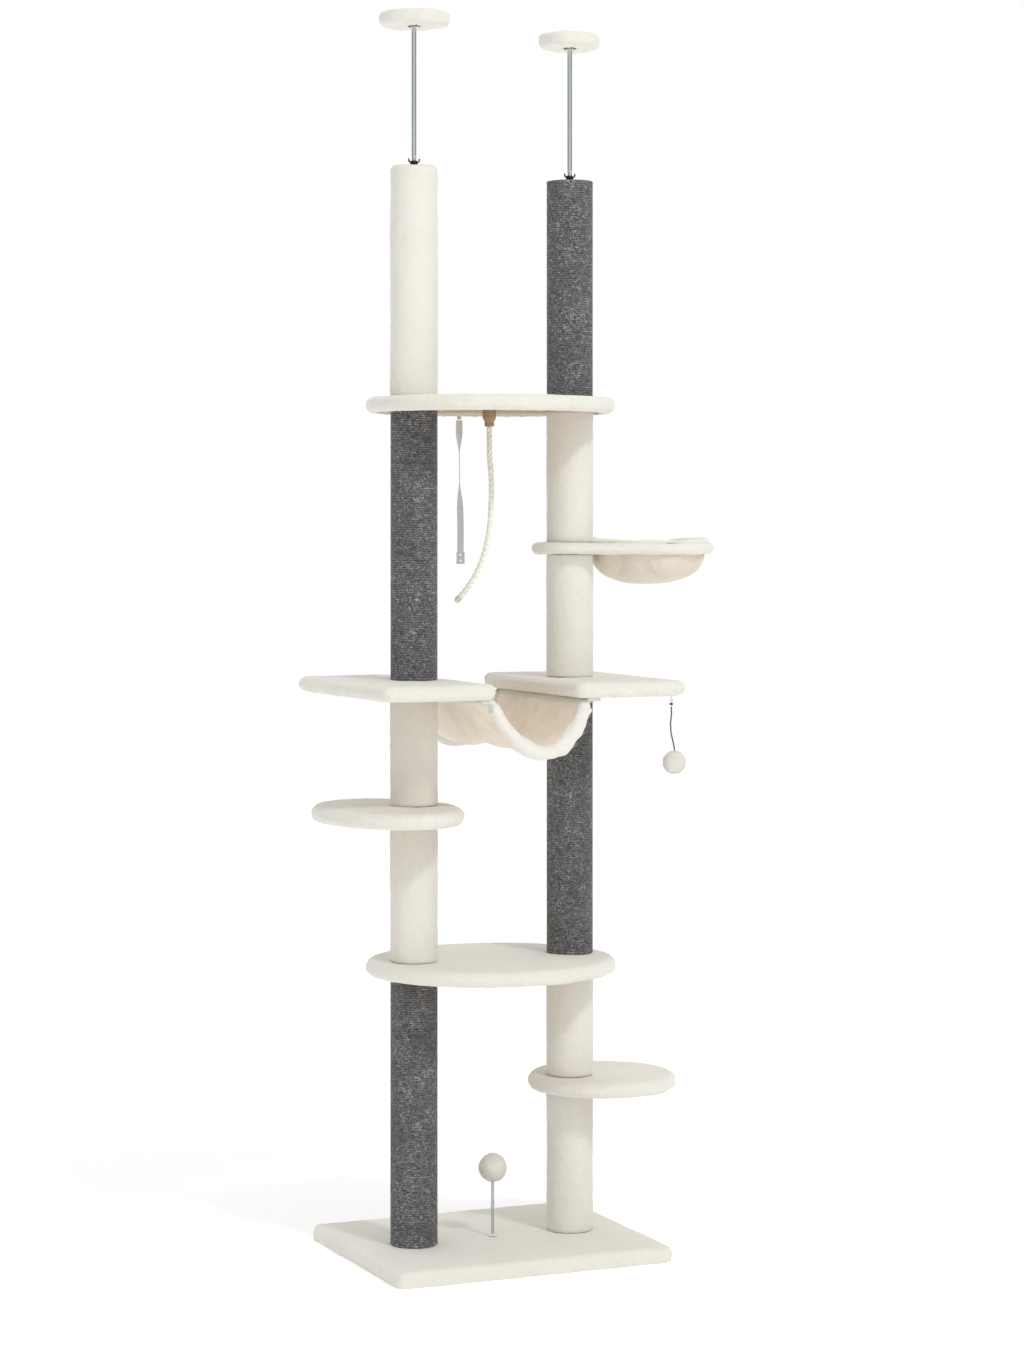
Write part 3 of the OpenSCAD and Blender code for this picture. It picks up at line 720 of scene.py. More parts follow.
def oval_outline(centre, long, deep, count):
    """An ellipse as four quarters of points, anticlockwise from its lower right diagonal."""
    turn = np.linspace(-np.pi / 4, 7 * np.pi / 4, count, endpoint=False)
    edge = np.stack([long / 2 * np.cos(turn), deep / 2 * np.sin(turn)], axis=1)
    square = np.stack([np.cos(turn) / (long / 2), np.sin(turn) / (deep / 2)], axis=1)
    return edge + centre, square / np.linalg.norm(square, axis=1)[:, None]


def rounded_outline(centre, long, deep, radius, count):
    """A rectangle with round corners, from the middle of its lower right corner."""
    quarter = count // 4
    edge, out = [], []
    for k in range(4):
        run = (deep if k % 2 == 0 else long) - 2 * radius
        arc = radius * np.pi / 4
        for s in np.linspace(0, run + 2 * arc, quarter, endpoint=False):
            if s < arc:
                turn, ahead = -np.pi / 4 + s / radius, -run / 2
            elif s < arc + run:
                turn, ahead = 0.0, -run / 2 + s - arc
            else:
                turn, ahead = (s - arc - run) / radius, run / 2
            half = (long if k % 2 == 0 else deep) / 2 - radius
            place = np.array([half + radius * np.cos(turn), ahead + radius * np.sin(turn)])
            normal = np.array([np.cos(turn), np.sin(turn)])
            spin = np.array([[0, -1], [1, 0]]) if k % 2 else np.eye(2, dtype=int)
            spin = spin @ (np.eye(2, dtype=int) if k < 2 else -np.eye(2, dtype=int))
            edge.append(spin @ place)
            out.append(spin @ normal)
    return np.array(edge) + centre, np.array(out)


def paddle_outline(centre, far, near, reach, count):
    """A large circle about centre with a tail round a smaller one reach behind it, seen from centre."""
    lean = math.acos((far - near) / reach)
    meet = math.atan2(near * math.sin(lean), reach + near * math.cos(lean))
    edge = []
    for a in np.linspace(0, 2 * np.pi, count, endpoint=False):
        back = math.pi - abs(a - math.pi)
        if back >= lean:
            r = far
        elif back > meet:
            r = far / math.cos(lean - back)
        else:
            r = reach * math.cos(back) + math.sqrt(near**2 - (reach * math.sin(back)) ** 2)
        edge.append([-r * math.cos(a), -r * math.sin(a)])
    edge = np.array(edge)
    ahead = np.roll(edge, -1, axis=0) - np.roll(edge, 1, axis=0)
    out = np.stack([ahead[:, 1], -ahead[:, 0]], axis=1)
    return edge + centre, out / np.linalg.norm(out, axis=1)[:, None]


def top_grid(edge, centre):
    """Points and faces of a net over a closed edge of 4 (n - 1) points, and its border's numbers."""
    n = len(edge) // 4 + 1
    step = np.arange(n) * 2 / (n - 1) - 1
    u, v = np.meshgrid(step, step, indexing="ij")
    ring = np.maximum(np.abs(u), np.abs(v))
    safe = np.where(ring == 0, 1, ring)
    a, b = u / safe, v / safe
    share = np.where(
        np.isclose(a, 1), (b + 1) / 2, np.where(np.isclose(b, 1), 1 + (1 - a) / 2,
        np.where(np.isclose(a, -1), 2 + (1 - b) / 2, 3 + (a + 1) / 2)),
    ) / 4
    share = np.mod(share, 1.0) * len(edge)
    low = np.floor(share).astype(int) % len(edge)
    part = (share - np.floor(share))[..., None]
    rim = edge[low] * (1 - part) + edge[(low + 1) % len(edge)] * part
    flat = centre + (rim - centre) * ring[..., None]
    number = np.arange(n * n).reshape(n, n)
    faces = [
        (number[i, j], number[i + 1, j], number[i + 1, j + 1], number[i, j + 1])
        for i in range(n - 1)
        for j in range(n - 1)
    ]
    last = n - 1
    border = (
        [number[last, j] for j in range(last)]
        + [number[i, last] for i in range(last, 0, -1)]
        + [number[0, j] for j in range(last, 0, -1)]
        + [number[i, 0] for i in range(last)]
    )
    return flat.reshape(-1, 2), faces, border


def edge_count(long, deep):
    """How many points go round an outline, a multiple of four."""
    around = math.pi * (1.5 * (long + deep) / 2 - 0.5 * math.sqrt(long * deep))
    return 4 * max(8, int(around / sizes().cell / 4))


def cover_outline(centre, span, radius, share=1):
    """An outline and its outward directions: with round corners of that radius, or oval for 0."""
    count = edge_count(*span) // share // 4 * 4
    if radius:
        return rounded_outline(centre, span[0], span[1], radius, count)
    return oval_outline(centre, span[0], span[1], count)


def wrapped_cover(name, outline, heights, depths, seed, relief=1.0):
    """Plush pulled over a board: flat top, round edge, and a margin folded under and stapled.

    heights: underside, top and underside of the board; depths: of the round edge above and below its
    middle, and of the margin.
    """
    edge, out = outline
    low, high, board_low = heights
    edge_depth, low_depth, fold = depths
    centre = edge.mean(axis=0)
    half = (high - low) / 2
    top, faces, border = top_grid(edge - out * edge_depth, centre)
    points = [np.append(p, high) for p in top]
    previous = list(border)
    count = len(edge)
    ends = []
    for turn in np.linspace(math.pi / 2, -math.pi / 2, 11)[1:]:
        inset = (edge_depth if turn > 0 else low_depth) * (1 - math.cos(turn))
        ends.append((inset, low + half + half * math.sin(turn)))
    ragged = 1.6 * MM * lumps(np.column_stack([edge, 0 * edge[:, 0]]), 0.03, seed + 5)
    ends += [(inset, low) for inset in np.linspace(low_depth, fold, 4)[1:]]
    ends += [(fold + 1.0 * MM, low + 1.4 * MM), (fold + 1.2 * MM, board_low + 1.0 * MM)]
    for inset, height in ends:
        wave = ragged if inset >= fold - 1e-6 else 0 * ragged
        ring = edge - out * (inset + wave)[:, None]
        first = len(points)
        points += [np.append(p, height) for p in ring]
        now = list(range(first, first + count))
        following = now[1:] + now[:1]
        faces += list(zip(previous, now, following, previous[1:] + previous[:1]))
        previous = now
    faces.append(tuple(previous))
    piece = make_mesh(name, points, faces, finish_of("plush"))
    face_outwards(piece)
    where = points_of(piece)
    margin = (where[:, 2] < board_low + 0.5 * MM) & (where[:, 2] <= low + 0.5 * MM)
    against_board = (where[:, 2] >= board_low + 0.5 * MM) & (where[:, 2] <= board_low + 1.5 * MM)
    height = plush_relief(where, seed, relief)
    rim = np.clip((high - where[:, 2]) / (high - low), 0, 1)
    edge_lumps = lumps(where, 0.022, seed + 8) * 1.9 * MM + lumps(where, 0.010, seed + 9) * 0.9 * MM
    height = height * (0.7 + 0.6 * np.sin(rim * np.pi)) + edge_lumps * np.clip(rim * 1.4, 0, 1) - 0.4 * MM
    height = np.where(margin, height * 0.35 + 0.4 * MM, height)
    push_out(piece, np.where(against_board, 0, height))
    points = points_of(piece)
    points[:, 2] = np.maximum(points[:, 2], low)
    place_points(piece, points)
    return piece


# ---------------------------------------------------------------- geometry nodes


class Nodes:
    """A Geometry Nodes tree under construction."""

    def __init__(self, name, inputs):
        self.tree = bpy.data.node_groups.new(name, "GeometryNodeTree")
        self.tree.interface.new_socket("Geometry", in_out="OUTPUT", socket_type="NodeSocketGeometry")
        for title, kind in inputs.items():
            self.tree.interface.new_socket(title, in_out="INPUT", socket_type="NodeSocket" + kind)
        self.given = self.tree.nodes.new("NodeGroupInput")
        self.result = self.tree.nodes.new("NodeGroupOutput")

    def input(self, title):
        """The tree's input of that name."""
        return self.given.outputs[title]

    def add(self, kind, settings=None, inputs=None, output=0):
        """Any node: settings first, then values or links; gives back one of its outputs."""
        node = self.tree.nodes.new(kind)
        for key, value in (settings or {}).items():
            setattr(node, key, value)
        for key, value in (inputs or {}).items():
            if isinstance(value, bpy.types.NodeSocket):
                self.tree.links.new(value, node.inputs[key])
            else:
                node.inputs[key].default_value = value
        return node.outputs[output]

    def maths(self, operation, *values):
        """One Math node."""
        return self.add("ShaderNodeMath", {"operation": operation}, dict(enumerate(values)))

    def store(self, geometry, name, value):
        """The geometry with a named number stored on its points."""
        kinds = {"data_type": "FLOAT", "domain": "POINT"}
        inputs = {"Geometry": geometry, "Name": name, "Value": value}
        return self.add("GeometryNodeStoreNamedAttribute", kinds, inputs)

    def spiral(self, resolution):
        """A level helix of the tree's Turns, Radius and Height."""
        inputs = {"Resolution": resolution, "Rotations": self.input("Turns"), "Height": self.input("Height")}
        inputs.update({"Start Radius": self.input("Radius"), "End Radius": self.input("Radius")})
        return self.add("GeometryNodeCurveSpiral", {}, inputs)

    def finish(self, geometry, material):
        """End in real geometry with its material."""
        real = self.add("GeometryNodeRealizeInstances", {}, {"Geometry": geometry})
        painted = self.add("GeometryNodeSetMaterial", {}, {"Geometry": real, "Material": material})
        self.tree.links.new(painted, self.result.inputs[0])
        return self.tree


def numbers(*titles):
    """Inputs of these names, each a number."""
    return {title: "Float" for title in titles}


def from_nodes(name, tree, values, skin=None):
    """A plain mesh from a tree, its inputs set by their sockets' identifiers."""
    start = skin.data.copy() if skin else bpy.data.meshes.new(name + "_seed")
    holder = bpy.data.objects.new(name, start)
    bpy.context.scene.collection.objects.link(holder)
    modifier = holder.modifiers.new("made", "NODES")
    modifier.node_group = tree
    for item in tree.interface.items_tree:
        if item.in_out == "INPUT" and item.name in values:
            modifier[item.identifier] = values[item.name]
    depsgraph = bpy.context.evaluated_depsgraph_get()
    mesh = bpy.data.meshes.new_from_object(holder.evaluated_get(depsgraph), depsgraph=depsgraph)
    holder.modifiers.clear()
    old = holder.data
    holder.data = mesh
    bpy.data.meshes.remove(old)
    bpy.data.node_groups.remove(tree)
    for face in mesh.polygons:
        face.use_smooth = True
    return holder


def winding_tree(material):
    """A rope wound in a tight helix, with the run along it and the turn round it stored."""
    g = Nodes("winding", numbers("Radius", "Turns", "Height", "Thickness", "Unevenness", "Seed"))
    spiral = g.spiral(40)
    circle = {"Resolution": 48, "Radius": g.input("Radius")}
    low_turn = g.add("GeometryNodeCurvePrimitiveCircle", {}, circle)
    top = g.add("ShaderNodeCombineXYZ", {}, {2: g.input("Height")})
    high_turn = g.add("GeometryNodeTransform", {}, {"Geometry": low_turn, "Translation": top})
    whole = g.tree.nodes.new("GeometryNodeJoinGeometry")
    for curve in (high_turn, low_turn, spiral):
        g.tree.links.new(curve, whole.inputs[0])
    place = g.add("GeometryNodeInputPosition")
    wobble = g.add(
        "ShaderNodeTexNoise",
        {"noise_dimensions": "4D"},
        {"Vector": place, "W": g.input("Seed"), "Scale": 42.0, "Detail": 2.0},
        output="Color",
    )
    centred = g.add("ShaderNodeVectorMath", {"operation": "SUBTRACT"}, {0: wobble, 1: (0.5, 0.5, 0.5)})
    shift = g.add(
        "ShaderNodeVectorMath", {"operation": "SCALE"}, {0: centred, "Scale": g.input("Unevenness")}
    )
    uneven = g.add("GeometryNodeSetPosition", {}, {"Geometry": whole.outputs[0], "Offset": shift})
    run = g.add("GeometryNodeSplineParameter", output=1)
    marked = g.store(uneven, "run", run)
    half = g.maths("MULTIPLY", g.input("Thickness"), 0.5)
    ring = g.add("GeometryNodeCurvePrimitiveCircle", {}, {"Resolution": 7, "Radius": half})
    turn = g.add("GeometryNodeSplineParameter", output=0)
    marked_ring = g.store(ring, "round", turn)
    rope = g.add(
        "GeometryNodeCurveToMesh", {}, {"Curve": marked, "Profile Curve": marked_ring, "Fill Caps": True}
    )
    return g.finish(rope, material)


def fluff_tree(material):
    """Short tapered tufts standing all over a skin, leaning a little at random."""
    sockets = {"Skin": "Geometry", **numbers("Density", "Length", "Thickness", "Lean"), "Seed": "Int"}
    g = Nodes("fluff", sockets)
    scatter = g.tree.nodes.new("GeometryNodeDistributePointsOnFaces")
    g.tree.links.new(g.input("Skin"), scatter.inputs["Mesh"])
    g.tree.links.new(g.input("Density"), scatter.inputs["Density"])
    g.tree.links.new(g.input("Seed"), scatter.inputs["Seed"])
    cone = {"Vertices": 3, "Radius Top": 0.0, "Depth": g.input("Length")}
    cone["Radius Bottom"] = g.input("Thickness")
    tuft = g.add("GeometryNodeMeshCone", {"fill_type": "NONE"}, cone)
    low = g.maths("MULTIPLY", g.input("Lean"), -1.0)
    low_turn = g.add("ShaderNodeCombineXYZ", {}, {0: low, 1: low, 2: low})
    high = g.input("Lean")
    high_turn = g.add("ShaderNodeCombineXYZ", {}, {0: high, 1: high, 2: high})
    between = {0: low_turn, 1: high_turn, "Seed": g.input("Seed")}
    tilt = g.add("FunctionNodeRandomValue", {"data_type": "FLOAT_VECTOR"}, between)
    turns = {0: scatter.outputs["Rotation"], 1: tilt}
    turned = g.add("FunctionNodeRotateRotation", {"rotation_space": "LOCAL"}, turns)
    between = {2: 0.6, 3: 1.3, "Seed": g.input("Seed")}
    size = g.add("FunctionNodeRandomValue", {"data_type": "FLOAT"}, between, output=1)
    standing = {"Points": scatter.outputs["Points"], "Instance": tuft, "Rotation": turned, "Scale": size}
    return g.finish(g.add("GeometryNodeInstanceOnPoints", {}, standing), material)


def with_fluff(piece, seed):
    """The piece with tufts on its skin, as one mesh."""
    values = {
        "Density": 260000.0,
        "Length": 2.8 * MM,
        "Thickness": 0.35 * MM,
        "Lean": 0.9,
        "Seed": sizes().seed + seed,
    }
    tree = fluff_tree(piece.data.materials[0])
    tufts = from_nodes(piece.name + "_tufts", tree, values, skin=piece)
    return join(piece.name, [piece, tufts])


def row_tree(material):
    """Staples: a short bar repeated along a guide line, facing along it."""
    g = Nodes("staples", {"Guide": "Geometry", **numbers("Gap", "Width", "Leg", "Wire")})
    curve = g.add("GeometryNodeMeshToCurve", {}, {"Mesh": g.input("Guide")})
    points = g.tree.nodes.new("GeometryNodeCurveToPoints")
    points.mode = "LENGTH"
    g.tree.links.new(curve, points.inputs["Curve"])
    g.tree.links.new(g.input("Gap"), points.inputs["Length"])
    bar = {0: g.input("Wire"), 1: g.input("Leg"), 2: g.input("Width")}
    size = g.add("ShaderNodeCombineXYZ", {}, bar)
    wire = g.add("GeometryNodeMeshCube", {}, {"Size": size})
    row = g.add(
        "GeometryNodeInstanceOnPoints",
        {},
        {"Points": points.outputs["Points"], "Instance": wire, "Rotation": points.outputs["Rotation"]},
    )
    return g.finish(row, material)


def staple_row(name, outline, height, staple):
    """Staples in a level row along a closed outline; staple holds one staple's sizes."""
    count = len(outline)
    points = [(p[0], p[1], height) for p in outline]
    guide = bpy.data.meshes.new(name + "_guide")
    guide.from_pydata(points, [(k, (k + 1) % count) for k in range(count)], [])
    holder = bpy.data.objects.new(name + "_guide", guide)
    values = {"Gap": sizes().staple_gap, **staple}
    row = from_nodes(name, row_tree(finish_of("steel")), values, skin=holder)
    bpy.data.objects.remove(holder)
    return row


def spring_tree(material):
    """A close wound coil spring."""
    g = Nodes("spring", numbers("Radius", "Height", "Wire", "Turns"))
    coil = g.spiral(20)
    ring = g.add("GeometryNodeCurvePrimitiveCircle", {}, {"Resolution": 6, "Radius": g.input("Wire")})
    wire = g.add("GeometryNodeCurveToMesh", {}, {"Curve": coil, "Profile Curve": ring, "Fill Caps": True})
    return g.finish(wire, material)


# ---------------------------------------------------------------- stuffed pieces


def evaluated_mesh(piece):
    """The piece's mesh with its modifiers applied."""
    depsgraph = bpy.context.evaluated_depsgraph_get()
    return bpy.data.meshes.new_from_object(piece.evaluated_get(depsgraph), depsgraph=depsgraph)


def swap_mesh(piece, mesh):
    """Give the piece a new mesh and drop its modifiers."""
    old = piece.data
    piece.modifiers.clear()
    piece.data = mesh
    bpy.data.meshes.remove(old)
    for face in mesh.polygons:
        face.use_smooth = True


def swell(piece, cap, voxel, pressure, frames):
    """Even out a closed shape's faces and swell it as stuffed cloth does, each point by at most cap."""
    even = piece.modifiers.new("even", "REMESH")
    even.mode = "VOXEL"
    even.voxel_size = voxel
    swap_mesh(piece, evaluated_mesh(piece))
    start = points_of(piece)
    scene = bpy.context.scene
    cloth = piece.modifiers.new("stuffing", "CLOTH")
    cloth.settings.quality = 5
    cloth.settings.use_pressure = True
    cloth.settings.uniform_pressure_force = pressure
    cloth.settings.effector_weights.gravity = 0.0
    for step in range(1, frames + 1):
        scene.frame_set(step)
    swap_mesh(piece, evaluated_mesh(piece))
    scene.frame_set(1)
    move = points_of(piece) - start
    far = np.linalg.norm(move, axis=1)
    share = np.minimum(1.0, cap / np.maximum(far, 1e-9))
    place_points(piece, start + move * share[:, None])
    smooth = piece.modifiers.new("smooth", "SUBSURF")
    smooth.levels = 1
    smooth.render_levels = 1
    swap_mesh(piece, evaluated_mesh(piece))


# ---------------------------------------------------------------- stage, covers and posts


def settle(piece, body, slot, *nodes):
    """Ride the piece on its body and hide the CAD nodes it stands for; slot is not used."""
    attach(piece, body)
    if nodes:
        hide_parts(*nodes)
    return piece


class CATTREE_OT_stage(bpy.types.Operator):
    """Make the floor, the lights and the camera"""

    bl_idname = "cattree.stage"
    bl_label = "Stage"
    place = (-2.647, -6.166, 1.505)
    azimuth = -23.62
    lens = 86.03
    shift = -0.1201
    floor_half = 30.0
    key_place = (1.96, -8.4, 8.76)
    key_size = 1.25
    key_power = 372.0
    aim = (0.0, 0.0, 1.2)
    side_card = 0.30
    front_card = 0.78

    def execute(self, context):
        scene = context.scene
        camera = bpy.data.objects.new("camera", bpy.data.cameras.new("camera"))
        scene.collection.objects.link(camera)
        scene.camera = camera
        camera.location = self.place
        camera.rotation_euler = (math.radians(90), 0, math.radians(self.azimuth))
        camera.data.sensor_width = 36.0
        camera.data.lens = self.lens
        camera.data.shift_y = self.shift
        size = self.floor_half
        floor = make_mesh(
            "studio_floor_plane",
            [(-size, -size, 0), (size, -size, 0), (size, size, 0), (-size, size, 0)],
            [(0, 1, 2, 3)],
            finish_of("floor"),
        )
        world = bpy.data.worlds.new("studio")
        scene.world = world
        scene.view_settings.view_transform = "Standard"
        world.use_nodes = True
        self.sky(world.node_tree)
        self.key()
        return {"FINISHED"}

    def sky(self, tree):
        """A white studio with a grey card at each side of the camera's view and one behind the camera."""
        where = tree.nodes.new("ShaderNodeTexCoord")
        aside = self.along(tree, where, self.azimuth)
        either = tree.nodes.new("ShaderNodeMath")
        either.operation = "ABSOLUTE"
        tree.links.new(aside, either.inputs[0])
        sides = self.dimmed(tree, either.outputs[0], 0.62, 0.95, self.side_card)
        front = self.dimmed(tree, self.along(tree, where, self.azimuth - 90), 0.25, 0.85, self.front_card)
        both = tree.nodes.new("ShaderNodeMath")
        both.operation = "MULTIPLY"
        tree.links.new(sides, both.inputs[0])
        tree.links.new(front, both.inputs[1])
        background = tree.nodes["Background"]
        background.inputs[0].default_value = (1.0, 1.0, 1.0, 1.0)
        tree.links.new(both.outputs[0], background.inputs[1])

    def along(self, tree, where, azimuth):
        """How far a direction of the sky points towards an azimuth, from -1 to 1."""
        share = tree.nodes.new("ShaderNodeVectorMath")
        share.operation = "DOT_PRODUCT"
        turn = math.radians(azimuth)
        share.inputs[1].default_value = (math.cos(turn), math.sin(turn), 0.0)
        tree.links.new(where.outputs["Generated"], share.inputs[0])
        return share.outputs["Value"]

    def dimmed(self, tree, share, start, full, level):
        """Full light below start, falling smoothly to level at full."""
        card = tree.nodes.new("ShaderNodeMapRange")
        card.interpolation_type = "SMOOTHSTEP"
        for key, value in (("From Min", start), ("From Max", full), ("To Min", 1.0), ("To Max", level)):
            card.inputs[key].default_value = value
        tree.links.new(share, card.inputs["Value"])
        return card.outputs[0]

    def key(self):
        """A square soft light aimed at the middle of the tree."""
        lamp = bpy.data.lights.new("key", "AREA")
        lamp.size = self.key_size
        lamp.energy = self.key_power
        made = bpy.data.objects.new("key", lamp)
        bpy.context.scene.collection.objects.link(made)
        made.location = self.key_place
        way = Vector(self.aim) - Vector(self.key_place)
        made.rotation_euler = way.to_track_quat("-Z", "Y").to_euler()


class CATTREE_OT_base(bpy.types.Operator):
    """Make the plush over the base board"""

    bl_idname = "cattree.base"
    bl_label = "Base"
    corner = 18.0 * MM
    depths = (13.0 * MM, 3.0 * MM, 16.0 * MM)
    board_low = 3.5 * MM

    def execute(self, context):
        low, high = corners("base_cover")
        outline = cover_outline((low[:2] + high[:2]) / 2, high[:2] - low[:2], self.corner)
        heights = (0.0, high[2], self.board_low)
        cover = wrapped_cover("base_plush", outline, heights, self.depths, sizes().seed, 0.9)
        settle(cover, "root", "plush", "base_cover")
        return {"FINISHED"}


class CATTREE_OT_platforms(bpy.types.Operator):
    """Make the plush over the ovals, the steps and the perches"""

    bl_idname = "cattree.platforms"
    bl_label = "Platforms"
    corner = 24.0 * MM
    depths = (15.5 * MM, 15.5 * MM, 26.0 * MM)

    def execute(self, context):
        for number, shape in enumerate(PLATFORMS):
            low, high = corners(f"{shape}_cover")
            radius = self.corner if "perch" in shape else 0
            outline = cover_outline((low[:2] + high[:2]) / 2, high[:2] - low[:2], radius)
            heights = (low[2], high[2], corners(f"{shape}_board")[0][2])
            seed = sizes().seed + 10 * number
            cover = wrapped_cover(f"{shape}_plush", outline, heights, self.depths, seed)
            settle(cover, "root", "plush", f"{shape}_cover")
        return {"FINISHED"}


class CATTREE_OT_plush_posts(bpy.types.Operator):
    """Make the plush sleeves of the posts"""

    bl_idname = "cattree.plush_posts"
    bl_label = "Plush posts"
    thick = 4.4 * MM
    end_fold = 2.4 * MM
    top_fold = 7.0 * MM
    seam_at = 1.9
    seam_width = 2.6 * MM
    seam_depth = 1.8 * MM
    fuller = 0.8 * MM

    def execute(self, context):
        names = (
            "left_plush_lower", "left_plush_middle", "left_plush_top", "right_plush_base",
            "right_plush_lower", "right_plush_middle", "right_plush_upper",
        )
        for number, name in enumerate(names):
            self.sleeve(name, sizes().seed + 100 + 10 * number)
        return {"FINISHED"}

    def sleeve(self, name, seed):
        """One sleeve: rounded ends, a sewn seam at the back and faint creases."""
        low, high = corners(name)
        axis = axis_of(name.split("_")[0])
        outer = (high[0] - low[0]) / 2
        inner = outer - self.thick
        cell = sizes().cell
        rows = max(6, int((high[2] - low[2]) / cell))
        columns = int(2 * math.pi * outer / cell)
        turn = whole_turn(columns)
        profile = [(inner, low[2] + 2 * MM), (inner + 1.0 * MM, low[2] + 0.3 * MM)]
        profile += [(outer - 1.8 * MM, low[2])]
        fold = self.top_fold if name == "left_plush_top" else self.end_fold
        profile += [(outer, z) for z in np.linspace(low[2] + self.end_fold, high[2] - fold, rows)]
        if name == "left_plush_top":
            arc = np.linspace(0, math.pi / 2, 6)[1:-1]
            profile += [
                (outer - fold * (1 - math.cos(a)), high[2] - fold * (1 - math.sin(a))) for a in arc
            ]
            inner = outer - fold - 1.5 * MM
        profile += [(outer - fold * 0.75, high[2]), (inner + 1.0 * MM, high[2] - 0.3 * MM)]
        profile += [(inner, high[2] - 2 * MM)]
        profile += [(inner, z) for z in np.linspace(high[2], low[2], 4)[1:-1]]
        rings = np.array([[(r * math.cos(a), r * math.sin(a), z) for a in turn] for r, z in profile])
        points = rings.reshape(-1, 3) + np.array([axis[0], axis[1], 0])
        faces = torus_faces(len(profile), columns)
        piece = make_mesh(name.replace("plush", "plush_sleeve"), points, faces, finish_of("plush"))
        face_outwards(piece)
        where = points_of(piece)
        radius = np.hypot(where[:, 0] - axis[0], where[:, 1] - axis[1])
        angle = np.arctan2(where[:, 1] - axis[1], where[:, 0] - axis[0])
        middle = np.clip(np.minimum(where[:, 2] - low[2], high[2] - where[:, 2]) / 0.012, 0, 1)
        long_folds = lumps(where * np.array([1.0, 1.0, 0.22]), 0.024, seed + 4) * 0.7 * MM
        seam = -self.seam_depth * np.exp(-((np.abs(angle - self.seam_at) * outer / self.seam_width) ** 2))
        height = plush_relief(where, seed, 0.55) * 0.8 + long_folds * middle + seam + self.fuller
        outside = radius > outer - 0.6 * MM
        push_out(piece, np.where(outside, height * (0.35 + 0.65 * middle), 0.0))
        settle(piece, "root", "plush", name)


class CATTREE_OT_sisal_posts(bpy.types.Operator):
    """Wind the sisal rope round its tubes"""

    bl_idname = "cattree.sisal_posts"
    bl_label = "Sisal posts"
    fuller = 0.9 * MM

    def execute(self, context):
        s = sizes()
        names = ("left_sisal_lower", "left_sisal_upper", "right_sisal_middle", "right_sisal_top")
        for number, name in enumerate(names):
            low, high = corners(name)
            axis = axis_of(name.split("_")[0])
            outer = (high[0] - low[0]) / 2 + self.fuller
            thick = s.sisal_pitch * 1.12
            tall = high[2] - low[2]
            tree = winding_tree(finish_of("sisal"))
            values = {
                "Radius": outer - thick / 2,
                "Turns": (tall - thick) / s.sisal_pitch,
                "Height": tall - thick,
                "Thickness": thick,
                "Unevenness": 0.45 * MM,
                "Seed": float(s.seed + number),
            }
            piece = from_nodes(name.replace("sisal", "sisal_winding"), tree, values)
            move = np.array([axis[0], axis[1], low[2] + thick / 2])
            place_points(piece, points_of(piece) + move)
            settle(piece, "root", "sisal", name)
        return {"FINISHED"}


# ---------------------------------------------------------------- cords and their toys

POMPOM_ROUTE = [
    (298, -238, -22), (298, -238, -30), (298, -238, -38), (297, -238, -47), (296, -238, -56),
    (296, -239, -65), (296, -240, -74), (297, -242, -83), (299, -243, -92), (301, -243, -101),
    (302, -243, -106), (302, -243, -111),
]
ROPE_ROUTE = [
    (-5, -8, -46), (-5, -8, -70), (-4, -8, -95), (-2, -9, -120), (-1, -10, -145), (-1, -10, -170),
    (-2, -9, -195), (-3, -9, -220), (-6, -8, -245), (-10, -6, -270), (-16, -4, -294),
    (-25, 0, -318), (-35, 4, -339), (-47, 9, -359), (-59, 14, -375), (-68, 18, -386),
]
STRAP_ROUTE = [
    (17, 205, -8), (17, 205, -30), (17, 205, -70), (18, 205, -110), (18, 205, -150),
    (19, 205, -190), (20, 205, -230), (20, 205, -260), (20, 205, -286),
]


def hung(route, node):
    """A route in metres, its heights counted from the underside of a CAD node."""
    return np.array(route) * MM + np.array([0.0, 0.0, corners(node)[0][2]])


def mark(piece, **lists):
    """Store named lists of one number a vertex on the piece."""
    for name, values in lists.items():
        layer = piece.data.attributes.new(name, "FLOAT", "POINT")
        layer.data.foreach_set("value", np.asarray(values, np.float32))


def run_of(line):
    """Distance along a line at each of its points."""
    return np.concatenate([[0.0], np.cumsum(np.linalg.norm(np.diff(line, axis=0), axis=1))])


def laid_rope(name, line, start=0.0):
    """Three strands laid round each other from start along the rope, with run, round and crease stored."""
    strands, sides = 3, 12
    offset, thick = 2.75 * MM, 3.25 * MM
    side, up = frames_on(line)
    run = run_of(line) + start
    turn = whole_turn(sides)
    points, faces = [], []
    for k in range(strands):
        angle = 2 * np.pi * (run / sizes().rope_lay + k / strands)
        out = side * np.cos(angle)[:, None] + up * np.sin(angle)[:, None]
        centre = line + out * offset
        ahead = unit(np.gradient(centre, axis=0))
        across = unit(np.cross(ahead, out))
        out = np.cross(across, ahead)
        rings = centre[:, None] + thick * (
            out[:, None] * np.cos(turn)[None, :, None] + across[:, None] * np.sin(turn)[None, :, None]
        )
        first = len(points)
        points += list(rings.reshape(-1, 3))
        faces += [tuple(first + i for i in face) for face in tube_faces(len(line), sides)]
    piece = make_mesh(name, points, faces, finish_of("rope"))
    mark(
        piece,
        run=np.tile(np.repeat(run, sides), strands),
        round=np.tile(turn / (2 * np.pi), len(line) * strands),
        # Stored for the rope's finish, which paints shade on the side of each strand that meets the others.
        crease=np.tile(0.5 + 0.5 * np.cos(turn), len(line) * strands),
    )
    face_outwards(piece)
    return piece


